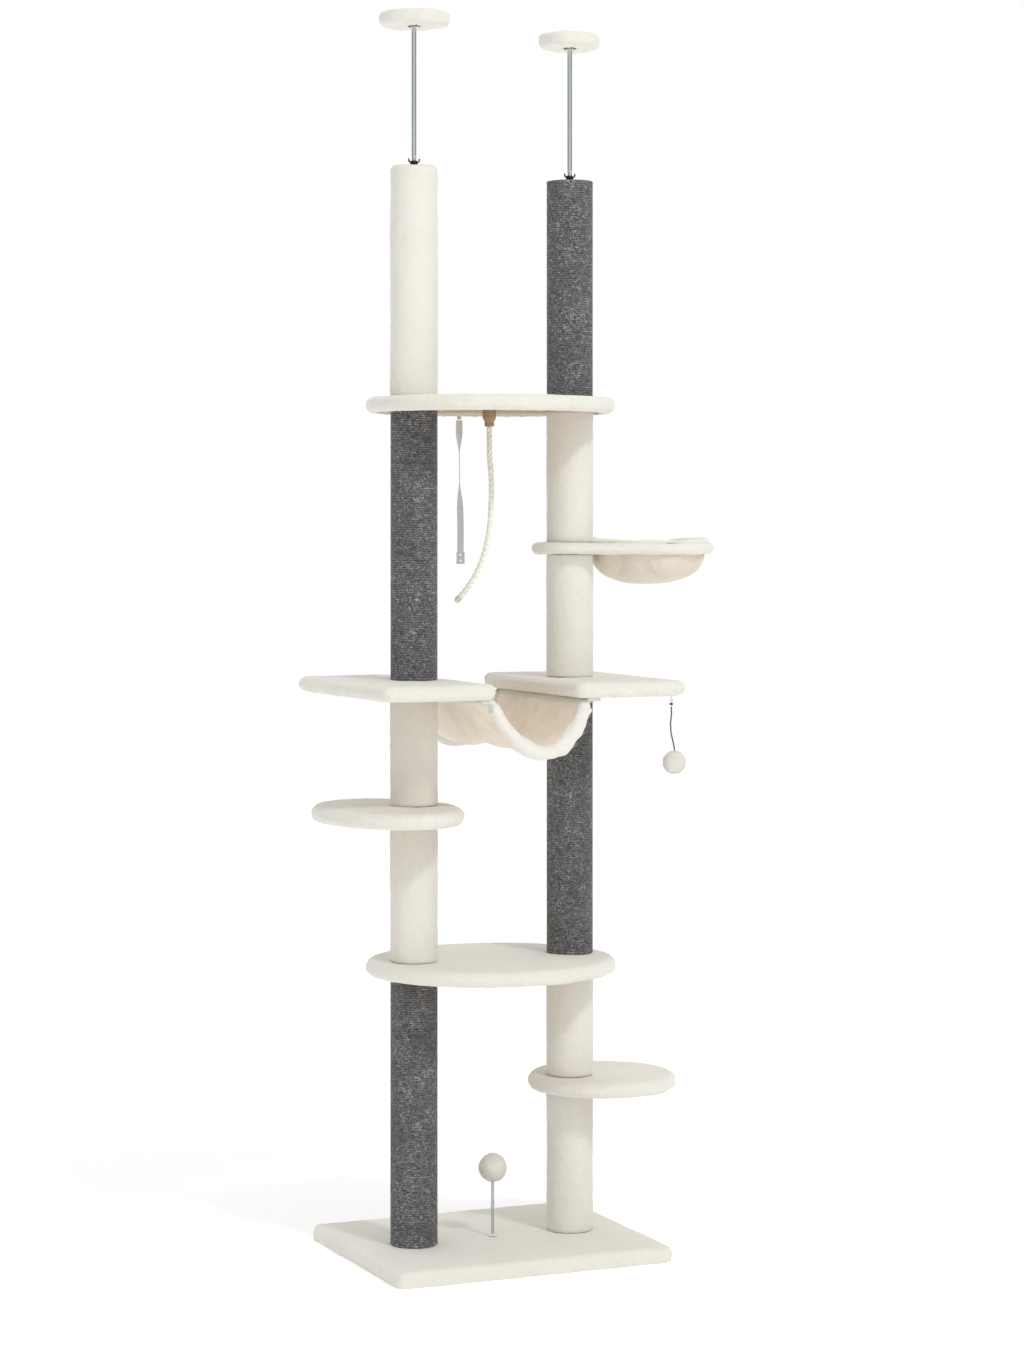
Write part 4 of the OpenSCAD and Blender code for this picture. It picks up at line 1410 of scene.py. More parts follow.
def knot(name, centre, size, thick):
    """A tight overhand knot of the elastic as large as size."""
    t = np.linspace(0, 2 * np.pi, 97)
    way = (np.sin(t) + 2 * np.sin(2 * t), np.cos(t) - 2 * np.cos(2 * t), -1.6 * np.sin(3 * t))
    line = np.array(centre) + np.stack(way, axis=1) * (size / 2 - thick / 2) / 3.0
    return sweep(name, line, disc(10, thick / 2), finish_of("cord"))


def plush_ball(name, centre, size, seed):
    """A ball of short fluffy pile."""
    inner = size / 2 - 1.6 * MM
    heights = np.cos(np.linspace(math.pi, 0, 34)[1:-1])
    profile = [(inner * math.sqrt(1 - h * h), inner * h) for h in heights]
    ball = lathe(
        name, profile, centre, finish_of("fluff"), steps=60,
        relief=lambda where: plush_relief(where, seed, 1.2) * 0.9,
    )
    return with_fluff(ball, seed)


class CATTREE_OT_play_rope(bpy.types.Operator):
    """Make the twisted play rope with its knob, its neck and its whipped end"""

    bl_idname = "cattree.play_rope"
    bl_label = "Play rope"
    knob_shape = (
        (0.10, 0.0), (0.60, 0.0), (0.68, 0.03), (0.72, 0.10), (0.70, 0.20), (0.70, 0.28), (0.78, 0.36),
        (0.92, 0.44), (0.99, 0.52), (1.0, 0.60), (1.0, 0.74), (0.985, 0.80), (1.0, 0.84), (1.0, 0.97),
        (0.97, 1.0), (0.10, 1.0),
    )

    def execute(self, context):
        line = along_route(hung(ROPE_ROUTE, "upper_oval_cover"), 2.4 * MM)
        rope = laid_rope("play_rope_strands", line)
        tip = along_route(line[-6:-1], 0.55 * MM)[:17]
        ridges = np.array([disc(16, 6.65 * MM if k % 2 else 6.3 * MM) for k in range(len(tip))])
        band = sweep("rope_whipping", tip, ridges, finish_of("thread"))
        settle(rope, "rope_hang", "rope", "play_rope")
        settle(band, "rope_hang", "rope")
        top = corners("rope_knot")[1][2] + 1.5 * MM
        neck = np.linspace((line[0][0], line[0][1], top), line[0], 12)
        tied = laid_rope("rope_neck", neck, start=-line_length(neck))
        settle(tied, "rope_link", "rope", "rope_knot")
        self.knob()
        return {"FINISHED"}

    def knob(self):
        """The turned wooden knob under the platform."""
        low, high = corners("rope_knob")
        centre = (low + high) / 2
        tall = high[2] - low[2]
        wide = (high[0] - low[0]) / 2
        profile = [(wide * r, tall * h - tall / 2) for r, h in self.knob_shape]
        piece = lathe("turned_knob", profile, centre, finish_of("knob"), steps=64)
        settle(piece, "root", "knob", "rope_knob")


class CATTREE_OT_pompom(bpy.types.Operator):
    """Make the pompom on its elastic cord"""

    bl_idname = "cattree.pompom"
    bl_label = "Pompom"
    cord_radius = 1.5 * MM
    eye_radius = 2.6 * MM
    eye_wire = 0.75 * MM

    def execute(self, context):
        line = along_route(hung(POMPOM_ROUTE, "right_perch_cover"), 1.6 * MM)
        cord = sweep("pompom_elastic", line, disc(10, self.cord_radius), finish_of("cord"))
        low, high = corners("pompom")
        size = high[0] - low[0]
        centre = np.array([(low[0] + high[0]) / 2, (low[1] + high[1]) / 2, low[2] + size / 2])
        ball = plush_ball("pompom_ball", centre, size, sizes().seed + 300)
        settle(cord, "pompom_hang", "cord", "pompom_cord")
        settle(ball, "pompom_hang", "plush", "pompom")
        low, high = corners("pompom_knot")
        tied = knot("pompom_end_knot", (low + high) / 2, high[0] - low[0] - 1.0 * MM, 3.0 * MM)
        settle(tied, "pompom_link", "cord", "pompom_knot")
        self.eye()
        return {"FINISHED"}

    def eye(self):
        """The screw eye under the perch."""
        low, high = corners("pompom_staple")
        middle = (low + high) / 2
        loop_r = self.eye_radius
        t = np.linspace(-0.5 * math.pi + 0.25, 1.5 * math.pi - 0.25, 28)
        centre = np.array([middle[0], middle[1], low[2] + loop_r])
        ring = centre + loop_r * np.stack([np.cos(t + math.pi), 0 * t, np.sin(t + math.pi)], axis=1)
        heights = np.linspace(low[2] + 2 * loop_r, high[2], 8)[1:]
        stem = np.array([[middle[0], middle[1], z] for z in heights])
        line = np.vstack([ring, stem])
        piece = sweep("pompom_screw_eye", line, disc(10, self.eye_wire), finish_of("steel"))
        settle(piece, "root", "steel", "pompom_staple")


class CATTREE_OT_wall_strap(bpy.types.Operator):
    """Make the grey webbing of the wall strap, twisted half a turn"""

    bl_idname = "cattree.wall_strap"
    bl_label = "Wall strap"
    half_width = 7.0 * MM
    half_thickness = 0.75 * MM
    twists = ((0.0, 112), (0.44, 68))
    twist_run = 0.26

    def execute(self, context):
        line = along_route(hung(STRAP_ROUTE, "upper_oval_cover"), 3.0 * MM)
        wide, thick = self.half_width, self.half_thickness
        across = np.array([0, 0.25, 0.5, 0.75, 1, 1, 0.75, 0.5, 0.25, 0])
        side = np.array([1, 1.15, 1.15, 1.15, 1, -1, -1.15, -1.15, -1.15, -1]) * thick
        section = np.stack([side, (across - 0.5) * 2 * wide], axis=1)
        turn = 0.0
        for start, degrees in self.twists:
            share = np.clip((np.linspace(0, 1, len(line)) - start) / self.twist_run, 0, 1)
            turn = turn + math.radians(degrees) * share * share * (3 - 2 * share)
        strap = sweep("wall_strap_webbing", line, section, finish_of("webbing"), turn)
        mark(strap, run=np.repeat(run_of(line), len(across)), round=np.tile(across, len(line)))
        settle(strap, "strap_hang", "strap", "wall_strap")
        return {"FINISHED"}


# ---------------------------------------------------------------- bowl, sling, pads


class CATTREE_OT_bowl(bpy.types.Operator):
    """Make the plush over the bowl's ring and the stuffed bowl hung in it"""

    bl_idname = "cattree.bowl"
    bl_label = "Bowl"
    lip = 13.0 * MM
    thick = 7.0 * MM
    pleat_depth = 5.0 * MM
    roll_half_width = 15.0 * MM
    roll_half_height = 6.5 * MM
    shape = (
        (0.0, 0.0), (0.26, 0.01), (0.48, 0.055), (0.70, 0.14), (0.87, 0.25), (0.985, 0.38), (1.055, 0.52),
        (1.085, 0.64), (1.09, 0.73), (1.05, 0.79), (0.99, 0.84), (0.985, 0.92), (0.985, 1.0),
    )

    def execute(self, context):
        low, high = corners("bowl_cover")
        in_low, in_high = corners("bowl_basket")
        centre = (in_low[:2] + in_high[:2]) / 2
        post = axis_of("right")
        hole = (in_high[0] - in_low[0]) / 2 - self.lip
        self.ring(low, high, centre, post, hole)
        self.basket(in_low, high[2], centre, hole)
        self.lip_roll(high[2], centre, hole)
        return {"FINISHED"}

    def ring(self, low, high, centre, post, hole):
        """Plush round the ring's board, from the hole to the outline."""
        count = 4 * int(math.pi * 2 * 0.139 / sizes().cell / 3)
        far, near = high[0] - centre[0], post[0] - low[0]
        edge, out = paddle_outline(centre, far, near, centre[0] - post[0], count)
        inner_out = unit(edge - centre)
        inner = centre + inner_out * hole
        half = (high[2] - low[2]) / 2
        middle = low[2] + half
        depth = half * 0.95
        levels = []
        for turn in np.linspace(-math.pi / 2, math.pi / 2, 11):
            inset = inner_out * depth * (1 - math.cos(turn))
            levels.append((inner + inset, middle + half * math.sin(turn)))
        top_in, top_out = inner + inner_out * depth, edge - out * depth
        for share in np.linspace(0, 1, 24)[1:-1]:
            levels.append((top_in * (1 - share) + top_out * share, middle + half))
        for turn in np.linspace(math.pi / 2, -math.pi / 2, 11):
            levels.append((edge - out * depth * (1 - math.cos(turn)), middle + half * math.sin(turn)))
        for share in np.linspace(1, 0, 24)[1:-1]:
            levels.append((top_in * (1 - share) + top_out * share, middle - half))
        points = [np.append(p, z) for flat, z in levels for p in flat]
        faces = torus_faces(len(levels), count)
        cover = make_mesh("bowl_ring_plush", points, faces, finish_of("plush"))
        face_outwards(cover)
        where = points_of(cover)
        droop = lumps(where, 0.034, 205) * 1.6 * MM + lumps(where, 0.013, 206) * 0.7 * MM
        push_out(cover, plush_relief(where, sizes().seed + 200, 1.15) + droop - 0.2 * MM)
        settle(cover, "root", "plush", "bowl_cover")

    def basket(self, low, rim, centre, hole):
        """The stuffed bowl: a shallow dome below the ring, with soft pleats, drawn up through the hole."""
        thick = self.thick
        deep = rim - low[2]
        knots = np.array([(max(hole * r, 1.0 * MM), low[2] + 1.5 * MM + deep * h) for r, h in self.shape])
        outer = along_route(np.column_stack([knots, 0 * knots[:, 0]]), 4.0 * MM)[:, :2]
        ahead = unit(np.gradient(outer, axis=0))
        inner = outer + thick * np.column_stack([-ahead[:, 1], ahead[:, 0]])
        inner[:, 0] = np.maximum(inner[:, 0], 1.0 * MM)
        inner[:, 0] = np.minimum(inner[:, 0], hole * 0.985 - thick)
        inner[:, 1] = np.maximum.accumulate(inner[:, 1])
        profile = list(outer) + [(hole * 0.985 - thick / 2, rim + 4.0 * MM)] + list(inner[::-1])
        middle = (centre[0], centre[1], 0.0)
        # The bowl's cloth is the lining made darker, as painted shade under the bowl.
        bowl = lathe("bowl_basket_stuffed", profile, middle, finish_of("bowl_cloth"), steps=120)
        swell(bowl, cap=3.0 * MM, voxel=5.0 * MM, pressure=4.0, frames=20)
        bowl.data.materials.clear()
        bowl.data.materials.append(finish_of("bowl_cloth"))
        where = points_of(bowl)
        angle = np.arctan2(where[:, 1] - centre[1], where[:, 0] - centre[0])
        radius = np.hypot(where[:, 0] - centre[0], where[:, 1] - centre[1])
        rise = np.clip((where[:, 2] - low[2]) / deep, 0, 1)
        flat = where * np.array([1.0, 1.0, 0.3])
        sharp = np.abs(np.sin(angle * 3.5 + 2.6 * lumps(flat, 0.08, 31))) ** 0.8
        pleats = -self.pleat_depth * (1 - sharp) * np.clip((rise - 0.18) / 0.4, 0, 1) * (radius > hole * 0.5)
        to_axis = np.column_stack([centre[0] - where[:, 0], centre[1] - where[:, 1], 0.9 - 0 * rise])
        inside = (normals_of(bowl) * to_axis).sum(axis=1) > 0.25 * np.linalg.norm(to_axis, axis=1)
        soft = plush_relief(where, sizes().seed + 210, 1.0)
        broad = lumps(where, 0.05, 77) * 1.1 * MM
        push_out(bowl, np.where(inside, soft + broad * 0.6, broad * 1.5 + pleats))
        flags = np.array([inside[face.vertices[0]] for face in bowl.data.polygons])
        paint_faces(bowl, flags, finish_of("plush"))
        settle(bowl, "root", "plush", "bowl_basket")

    def lip_roll(self, rim, centre, hole):
        """The soft roll that lies over the ring round the bowl's mouth."""
        steps, sides = 220, 18
        t = whole_turn(steps)
        turn = whole_turn(sides)
        out = np.stack([np.cos(t), np.sin(t), 0 * t], axis=1)
        fat = 0.85 + 0.75 * np.clip(lumps(out * 0.05, 0.026, 51), -0.6, 1) + 0.25 * np.sin(2 * t + 2.2)
        fat = np.maximum(fat, 0.35)
        wide = self.roll_half_width
        tall = self.roll_half_height * fat
        line = np.append(centre, rim) + out * (hole + 3.0 * MM)
        rings = (
            line[:, None]
            + out[:, None] * (wide * np.cos(turn))[None, :, None]
            + np.array([0.0, 0.0, 1.0]) * (tall[:, None] * np.sin(turn)[None, :])[..., None]
        )
        faces = torus_faces(steps, sides)
        roll = make_mesh("bowl_lip_plush", rings.reshape(-1, 3), faces, finish_of("fluff"))
        face_outwards(roll)
        push_out(roll, plush_relief(points_of(roll), sizes().seed + 220, 1.2))
        settle(roll, "root", "plush")


class CATTREE_OT_sling(bpy.types.Operator):
    """Make the sling between the perches with its rolled edges"""

    bl_idname = "cattree.sling"
    bl_label = "Sling"
    thick = 7.0 * MM
    fold_height = 10.0 * MM
    crest_depth = 9.0 * MM
    puff_height = 4.5 * MM
    flap_height = 14.0 * MM
    low_share = 0.52
    curves = (2.0, 2.8)
    flap = 0.024
    post_gap = 0.0492

    def middle(self, low, high, count):
        """The U from the left hem to the right hem, through the middle of the cloth."""
        left, right = low[0] + self.flap, high[0] - self.flap
        lowest = left + (right - left) * self.low_share
        top = high[2] - 4.0 * MM
        deep = (high[2] - low[2]) - 8.0 * MM
        points = [(low[0], top), (low[0] + self.flap * 0.5, top)]
        for u in np.linspace(-1, 1, count):
            x = lowest + u * ((lowest - left) if u < 0 else (right - lowest))
            points.append((x, top - deep * (1 - abs(u) ** self.curves[int(u >= 0)])))
        points += [(high[0] - self.flap * 0.5, top), (high[0], top)]
        return np.array([(x, 0.0, z) for x, z in points])

    def execute(self, context):
        low, high = corners("hammock")
        line = along_route(self.middle(low, high, 15), 4.4 * MM)
        count = len(line)
        rows = int((high[1] - low[1] - 10.0 * MM) / (4.6 * MM))
        along = np.linspace(low[1] + 6 * MM, high[1] - 6 * MM, rows)
        ahead = unit(np.gradient(line, axis=0))
        normal = np.column_stack([-ahead[:, 2], ahead[:, 1], ahead[:, 0]])
        slack = np.sin(np.linspace(0, 1, count) * np.pi)[:, None]
        share = np.linspace(0, 1, rows)[None, :]
        grid = line[:, None, :] + np.array([0, 1, 0]) * along[None, :, None]
        flat = grid.reshape(-1, 3)
        broad = lumps(flat * np.array([0.7, 0.8, 0.9]), 0.062, 41) * self.fold_height
        crests = 1 - np.abs(lumps(flat * np.array([0.6, 0.7, 0.6]), 0.052, 47))
        folds = broad - self.crest_depth * np.maximum(crests - 0.60, 0) / 0.40 + 3.0 * MM
        puffs = np.abs(lumps(flat * np.array([0.8, 0.8, 0.7]), 0.045, 53))
        puffs = self.puff_height * np.minimum(puffs, 1.0).reshape(count, rows) ** 0.6
        across = np.sin(share * np.pi)
        pulls = np.sin(share * np.pi * 7 + 2.0 * lumps(flat, 0.12, 43).reshape(count, rows))
        pulls = 1.8 * MM * pulls * (1 - slack) * across * (slack > 0.12)
        sag = folds.reshape(count, rows) * slack * across ** 0.5 + pulls
        sheets = []
        for side in (1, -1):
            points = grid + normal[:, None] * (side * self.thick / 2)
            height = sag
            if side > 0:
                nap = plush_relief(points.reshape(-1, 3), sizes().seed + 230, 0.9)
                height = sag + (nap.reshape(count, rows) + puffs * across ** 0.5) * slack
            sheets.append((points + normal[:, None] * height[..., None]).reshape(-1, 3))
        post = axis_of("right")
        points = np.vstack(sheets)
        beside = points[:, 1] - post[1]
        notch = post[0] - np.sqrt(np.maximum(self.post_gap**2 - beside**2, 0))
        near_post = np.abs(beside) < self.post_gap
        points[:, 0] = np.where(near_post, np.minimum(points[:, 0], notch), points[:, 0])
        total = count * rows
        faces = []
        for i in range(count - 1):
            for j in range(rows - 1):
                k = i * rows + j
                faces.append((k, k + rows, k + rows + 1, k + 1))
                faces.append(tuple(total + v for v in (k, k + 1, k + rows + 1, k + rows)))
        border = [i * rows for i in range(count)] + [(count - 1) * rows + j for j in range(1, rows)]
        border += [i * rows + rows - 1 for i in range(count - 2, -1, -1)] + list(range(rows - 2, 0, -1))
        for k, here in enumerate(border):
            there = border[(k + 1) % len(border)]
            faces.append((here, there, total + there, total + here))
        cloth = make_mesh("sling_cloth", points, faces, finish_of("lining"))
        flap_low = high[2] - self.flap_height
        flaps = np.array([face.center[2] > flap_low for face in cloth.data.polygons])
        paint_faces(cloth, flaps, finish_of("plush"))
        face_outwards(cloth)
        settle(cloth, "root", "plush", "hammock")
        hems = [self.rolled(low, high, name, y) for name, y in self.edges(low, high)]
        return {"FINISHED"}

    def edges(self, low, high):
        """Names and places of the two open edges."""
        inset = sizes().hem + 1.0 * MM
        return (("sling_front_hem", low[1] + inset), ("sling_back_hem", high[1] - inset))

    def rolled(self, low, high, name, y):
        """One rolled hem along an open edge, lumpy as the cloth bunches in it."""
        line = along_route(self.middle(low, high, 15)[2:-2], 2.6 * MM) + np.array([0.0, y, 0.0])
        hem = sizes().hem
        share = np.linspace(0, 1, len(line))
        fat = hem * (0.80 + 0.12 * np.sin(share * np.pi) + 0.16 * lumps(line, 0.030, 61) + 0.10 * share)
        fat = fat * np.clip(np.minimum(share, 1 - share) / 0.03 + 0.75, 0, 1)
        ring = disc(36, 1.0) * np.array([1.0, 0.92])
        section = ring[None] * fat[:, None, None]
        line[:, 2] = np.minimum(line[:, 2], high[2] - hem)
        roll = sweep(name, line, section, finish_of("fluff"))
        where = points_of(roll)
        bunches = lumps(where, 0.022, 63) * 2.4 * MM + lumps(where, 0.010, 64) * 1.1 * MM
        push_out(roll, plush_relief(where, sizes().seed + 240, 0.9) + bunches)
        settle(roll, "root", "plush")
        return roll


class CATTREE_OT_ceiling_pads(bpy.types.Operator):
    """Make the plush ceiling pads"""

    bl_idname = "cattree.ceiling_pads"
    bl_label = "Ceiling pads"
    long = 0.142
    short = 0.124
    sag = 0.003
    # Direction and half sizes of the painted slot shadow beside the rod under each pad.
    shadow_way = (0.916, -0.401)
    shadow_long = 0.015
    shadow_wide = 0.017
    turns = {"left": -20.0, "right": 48.0}
    bore = 5.6 * MM
    shape = (
        (0.115, 0.20), (0.16, 0.10), (0.30, 0.03), (0.55, 0.0), (0.78, 0.01), (0.91, 0.09), (0.975, 0.24),
        (1.0, 0.44), (1.0, 0.66), (0.97, 0.84), (0.90, 0.95), (0.72, 0.985), (0.35, 0.99), (0.06, 0.99),
    )

    def execute(self, context):
        for number, (side, turn) in enumerate(self.turns.items()):
            self.pad(side, math.radians(turn), sizes().seed + 260 + 10 * number)
        return {"FINISHED"}

    def pad(self, side, lean, seed):
        """One pad: a soft flattened oval, gathered round the rod on its underside, with a painted slot shadow
        beside the rod.
        """
        low, high = corners(f"{side}_pad_cover")
        axis = axis_of(side)
        tall = high[2] - low[2]
        half = 70.0 * MM
        steps = 132
        t = whole_turn(steps)
        c, s = math.cos(lean), math.sin(lean)
        rings = []
        route = np.array([(r * half, low[2] + tall * h, 0.0) for r, h in self.shape])
        knots = along_route(route, 2.6 * MM)[:, :2]
        for r, z in knots:
            x = r / half * self.long / 2 * np.cos(t)
            y = r / half * self.short / 2 * np.sin(t)
            ring = (axis[0] + x * c - y * s, axis[1] + x * s + y * c, np.full(steps, z))
            rings.append(np.stack(ring, axis=1))
        points = np.array(rings).reshape(-1, 3)
        pad = make_mesh(f"{side}_pad_plush", points, tube_faces(len(knots), steps), finish_of("plush"))
        face_outwards(pad)
        where = points_of(pad)
        x, y = where[:, 0] - axis[0], where[:, 1] - axis[1]
        angle = np.arctan2(y, x)
        radius = np.hypot(x, y) / (self.long / 2)
        under = np.clip((low[2] + 0.3 * tall - where[:, 2]) / (0.3 * tall), 0, 1)
        sharp = np.abs(np.sin(angle * 4 + 0.7 + 1.2 * lumps(where, 0.08, seed)))
        reach = np.clip(1.15 - radius, 0, 1) * np.clip(radius / 0.2, 0, 1)
        gathers = -5.0 * MM * (1 - sharp ** 0.45) * under * reach
        # Painted shadow: a small oval of the underside beside the rod, where a slot in the cover would lie in
        # shade.
        across = x * self.shadow_way[0] + y * self.shadow_way[1]
        beside = y * self.shadow_way[0] - x * self.shadow_way[1]
        slot_shadow = ((across / self.shadow_long) ** 2 + (beside / self.shadow_wide) ** 2 < 1) & (under > 0.2)
        below_top = where[:, 2] < high[2] - 2.0 * MM
        uneven = lumps(where, 0.034, seed + 3) * 2.2 * MM
        height = plush_relief(where, seed, 1.0) + uneven + gathers + 0.3 * MM
        push_out(pad, np.where(below_top, height, -0.4 * MM))
        where = points_of(pad)
        away = np.hypot(where[:, 0] - axis[0], where[:, 1] - axis[1])
        grow = np.maximum(self.bore / np.maximum(away, 1e-6), 1.0)
        near_rod = where[:, 2] < low[2] + 0.4 * tall
        grow = np.where(near_rod, grow, 1.0)
        where[:, 0] = axis[0] + (where[:, 0] - axis[0]) * grow
        where[:, 1] = axis[1] + (where[:, 1] - axis[1]) * grow
        where[:, 2] = np.clip(where[:, 2], low[2] - self.sag, high[2])
        place_points(pad, where)
        # Painted shadow: the faces in that oval take the near-black elastic finish.
        painted_shade = np.array([slot_shadow[list(face.vertices)].all() for face in pad.data.polygons])
        paint_faces(pad, painted_shade, finish_of("cord"))
        settle(pad, f"{side}_ceiling_pad", "plush", f"{side}_pad_cover")


class CATTREE_OT_tensioners(bpy.types.Operator):
    """Make the rods and wing nuts of the ceiling tensioners"""

    bl_idname = "cattree.tensioners"
    bl_label = "Ceiling tensioners"
    thread_depth = 0.55 * MM
    thread_above = 4.0 * MM
    nut_height = 9.0 * MM
    wing_half_width = 3.2 * MM
    wing_half_thickness = 1.35 * MM

    def execute(self, context):
        for side in ("left", "right"):
            self.rod(side)
            self.nut(side)
        return {"FINISHED"}

    def rod(self, side):
        """A smooth zinc rod with a thread cut on its lower part."""
        low, high = corners(f"{side}_rod")
        axis = axis_of(side)
        radius = (high[0] - low[0]) / 2
        pitch = sizes().thread_pitch
        top = corners(f"{side}_wing_nut")[1][2] + self.thread_above
        steps = 24
        turn = whole_turn(steps)
        heights = list(np.arange(low[2] + 1.0 * MM, top, pitch / 5))
        heights += list(np.linspace(top + 0.8 * MM, high[2] - 0.8 * MM, 24))
        rings = []
        for z in heights:
            phase = 2 * np.pi * z / pitch - turn
            depth = self.thread_depth * np.clip((top - z) / (2 * pitch), 0, 1)
            r = radius - depth * (0.5 + 0.5 * np.cos(phase))
            rings.append(np.stack([r * np.cos(turn), r * np.sin(turn), np.full(steps, z)], axis=1))
        small = radius - 0.8 * MM
        for z, place in ((low[2], 0), (high[2], len(rings) + 1)):
            ring = np.stack([small * np.cos(turn), small * np.sin(turn), np.full(steps, z)], axis=1)
            rings.insert(place, ring)
        points = np.array(rings).reshape(-1, 3) + np.array([axis[0], axis[1], 0.0])
        piece = make_mesh(f"{side}_threaded_rod", points, tube_faces(len(rings), steps), finish_of("steel"))
        face_outwards(piece)
        settle(piece, f"{side}_tensioner", "steel", f"{side}_rod")

    def nut(self, side):
        """A wing nut: a tapered body and two bent wings."""
        low, high = corners(f"{side}_wing_nut")
        axis = axis_of(side)
        radius = (high[1] - low[1]) / 2
        reach = (high[0] - low[0]) / 2
        body_top = low[2] + self.nut_height
        rod_low, rod_high = corners(f"{side}_rod")
        bore = (rod_high[0] - rod_low[0]) / 2 + 0.1 * MM
        steps = 40
        turn = whole_turn(steps)
        levels = (
            (bore, low[2] + 0.4 * MM), (bore + 0.5 * MM, low[2]), (radius - 0.7 * MM, low[2]),
            (radius, low[2] + 0.8 * MM), (radius * 0.93, low[2] + 5.0 * MM),
            (radius * 0.84, body_top - 0.7 * MM), (radius * 0.76, body_top),
            (bore + 0.5 * MM, body_top), (bore, body_top - 0.4 * MM),
        )
        points = [
            (axis[0] + r * math.cos(a), axis[1] + r * math.sin(a), z) for r, z in levels for a in turn
        ]
        faces = torus_faces(len(levels), steps)
        body = make_mesh(f"{side}_nut_body", points, faces, finish_of("black_steel"))
        face_outwards(body)
        parts = [body]
        for sign in (-1, 1):
            path = np.array([
                (axis[0] + sign * radius * 0.72, axis[1], low[2] + 4.6 * MM),
                (axis[0] + sign * (radius + 1.5 * MM), axis[1], low[2] + 6.6 * MM),
                (axis[0] + sign * (reach - 2.2 * MM), axis[1], low[2] + 9.6 * MM),
                (axis[0] + sign * (reach - 1.6 * MM), axis[1], high[2] - 1.4 * MM),
            ])
            line = along_route(path, 0.8 * MM)
            share = np.linspace(0, 1, len(line))
            wide = self.wing_half_width * np.sin(np.clip(share * 0.9 + 0.2, 0, 1) * math.pi) ** 0.5 + 0.5 * MM
            thick = np.full(len(line), self.wing_half_thickness)
            section = disc(16, 1.0)[None] * np.stack([wide, thick], axis=1)[:, None]
            parts.append(sweep(f"{side}_nut_wing", line, section, finish_of("black_steel")))
        nut = join(f"{side}_wing_nut_black", parts)
        settle(nut, f"{side}_nut", "dark_steel", f"{side}_wing_nut")


# ---------------------------------------------------------------- spring toy and fixings


class CATTREE_OT_spring_toy(bpy.types.Operator):
    """Make the ball on its coil spring"""

    bl_idname = "cattree.spring_toy"
    bl_label = "Spring toy"
    wire = 0.6 * MM
    coils = 62.0

    def execute(self, context):
        low, high = corners("toy_spring")
        centre = (low + high) / 2
        wire = self.wire
        radius = (high[0] - low[0]) / 2 - wire
        tree = spring_tree(finish_of("steel"))
        tall = high[2] - low[2] - 2 * wire
        values = {"Radius": radius, "Height": tall, "Wire": wire, "Turns": self.coils}
        spring = from_nodes("toy_spring_coil", tree, values)
        move = np.array([centre[0], centre[1], low[2] + wire])
        place_points(spring, points_of(spring) + move)
        settle(spring, "spring_stem", "steel", "toy_spring")
        low, high = corners("toy_ball")
        size = high[0] - low[0]
        centre = np.append((low[:2] + high[:2]) / 2, high[2] - size / 2)
        ball = plush_ball("toy_ball_plush", centre, size, sizes().seed + 320)
        settle(ball, "spring_ball", "plush", "toy_ball")
        return {"FINISHED"}


class CATTREE_OT_fixings(bpy.types.Operator):
    """Make the staples that hold the plush under each platform"""

    bl_idname = "cattree.fixings"
    bl_label = "Fixings"
    inset = 21.0 * MM
    corner = 10.0 * MM
    staple = {"Width": 10.0 * MM, "Leg": 1.2 * MM, "Wire": 0.9 * MM}

    def execute(self, context):
        for shape in PLATFORMS:
            low, high = corners(f"{shape}_cover")
            span = high[:2] - low[:2] - 2 * self.inset
            radius = self.corner if "perch" in shape else 0
            outline = cover_outline((low[:2] + high[:2]) / 2, span, radius, share=2)[0]
            row = staple_row(f"{shape}_staples", outline, low[2] - 0.1 * MM, self.staple)
            settle(row, "root", "steel")
        return {"FINISHED"}


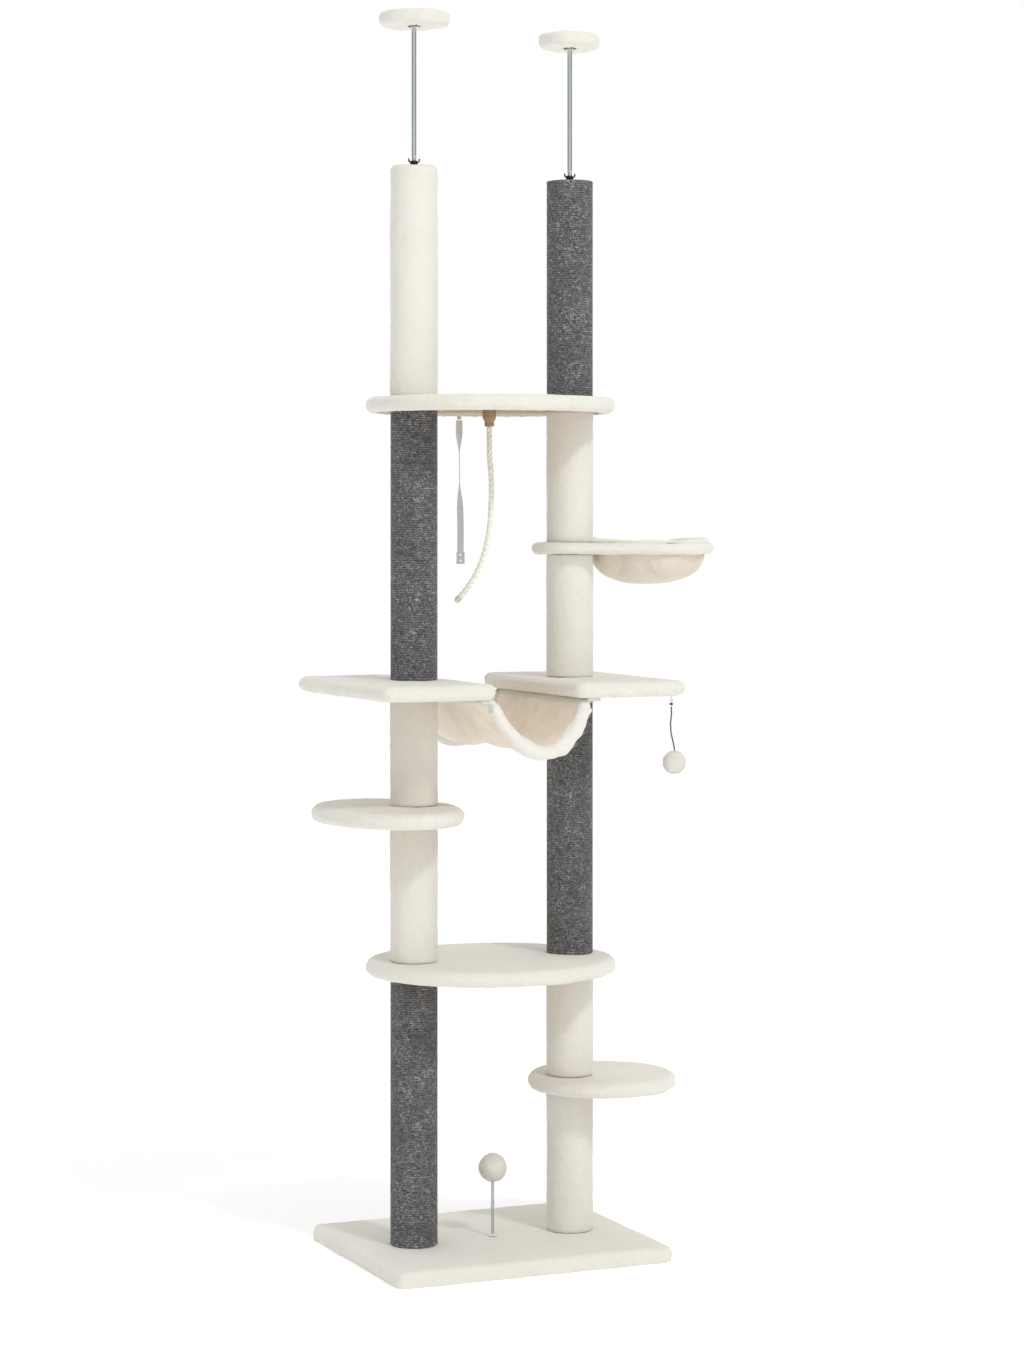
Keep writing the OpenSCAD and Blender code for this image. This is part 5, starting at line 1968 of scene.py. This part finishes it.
class CATTREE_OT_hardware(bpy.types.Operator):
    """Give the CAD pieces that stay their finishes"""

    bl_idname = "cattree.hardware"
    bl_label = "Hardware"
    finishes = {
        "board": "board",
        "plug": "board",
        "tubes": "tube",
        "studs": "steel",
        "bolts": "steel",
        "screw": "steel",
        "flange": "steel",
        "foot": "steel",
        "plate": "steel",
        "bushes": "black_steel",
    }

    def execute(self, context):
        for name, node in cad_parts.items():
            if node.hide_render:
                continue
            kinds = [finish for word, finish in self.finishes.items() if word in name]
            if not kinds:
                raise RuntimeError(f"no finish for {name}")
            node.data.materials.clear()
            node.data.materials.append(finish_of(kinds[0]))
        return {"FINISHED"}


# ---------------------------------------------------------------- add-on

STEPS = [
    "stage", "play_rope", "pompom", "wall_strap", "base", "platforms", "plush_posts", "sisal_posts",
    "bowl", "sling", "ceiling_pads", "tensioners", "spring_toy", "fixings", "hardware",
]


class CATTREE_PT_panel(bpy.types.Panel):
    """The steps that make the tree, with its sizes and colours"""

    bl_label = "Cat Tree"
    bl_idname = "CATTREE_PT_panel"
    bl_space_type = "VIEW_3D"
    bl_region_type = "UI"
    bl_category = "Cat Tree"

    def draw(self, context):
        column = self.layout.column(align=True)
        for step in STEPS:
            column.operator(f"cattree.{step}")
        for group in (context.scene.cat_tree_sizes, context.scene.cat_tree_colours):
            box = self.layout.box()
            for key in group.__annotations__:
                box.prop(group, key)


CLASSES = (
    CatTreeSizes,
    CatTreeColours,
    CATTREE_OT_stage,
    CATTREE_OT_play_rope,
    CATTREE_OT_pompom,
    CATTREE_OT_wall_strap,
    CATTREE_OT_base,
    CATTREE_OT_platforms,
    CATTREE_OT_plush_posts,
    CATTREE_OT_sisal_posts,
    CATTREE_OT_bowl,
    CATTREE_OT_sling,
    CATTREE_OT_ceiling_pads,
    CATTREE_OT_tensioners,
    CATTREE_OT_spring_toy,
    CATTREE_OT_fixings,
    CATTREE_OT_hardware,
    CATTREE_PT_panel,
)


def register():
    """Register the classes and the scene's settings."""
    for kind in CLASSES:
        bpy.utils.register_class(kind)
    bpy.types.Scene.cat_tree_sizes = PointerProperty(type=CatTreeSizes)
    bpy.types.Scene.cat_tree_colours = PointerProperty(type=CatTreeColours)


def unregister():
    """Take the classes and the settings away again."""
    del bpy.types.Scene.cat_tree_colours
    del bpy.types.Scene.cat_tree_sizes
    for kind in reversed(CLASSES):
        bpy.utils.unregister_class(kind)


def main():
    """Register the add-on and build the whole tree."""
    register()
    for step in STEPS:
        getattr(bpy.ops.cattree, step)()


if __name__ == "__main__":
    main()
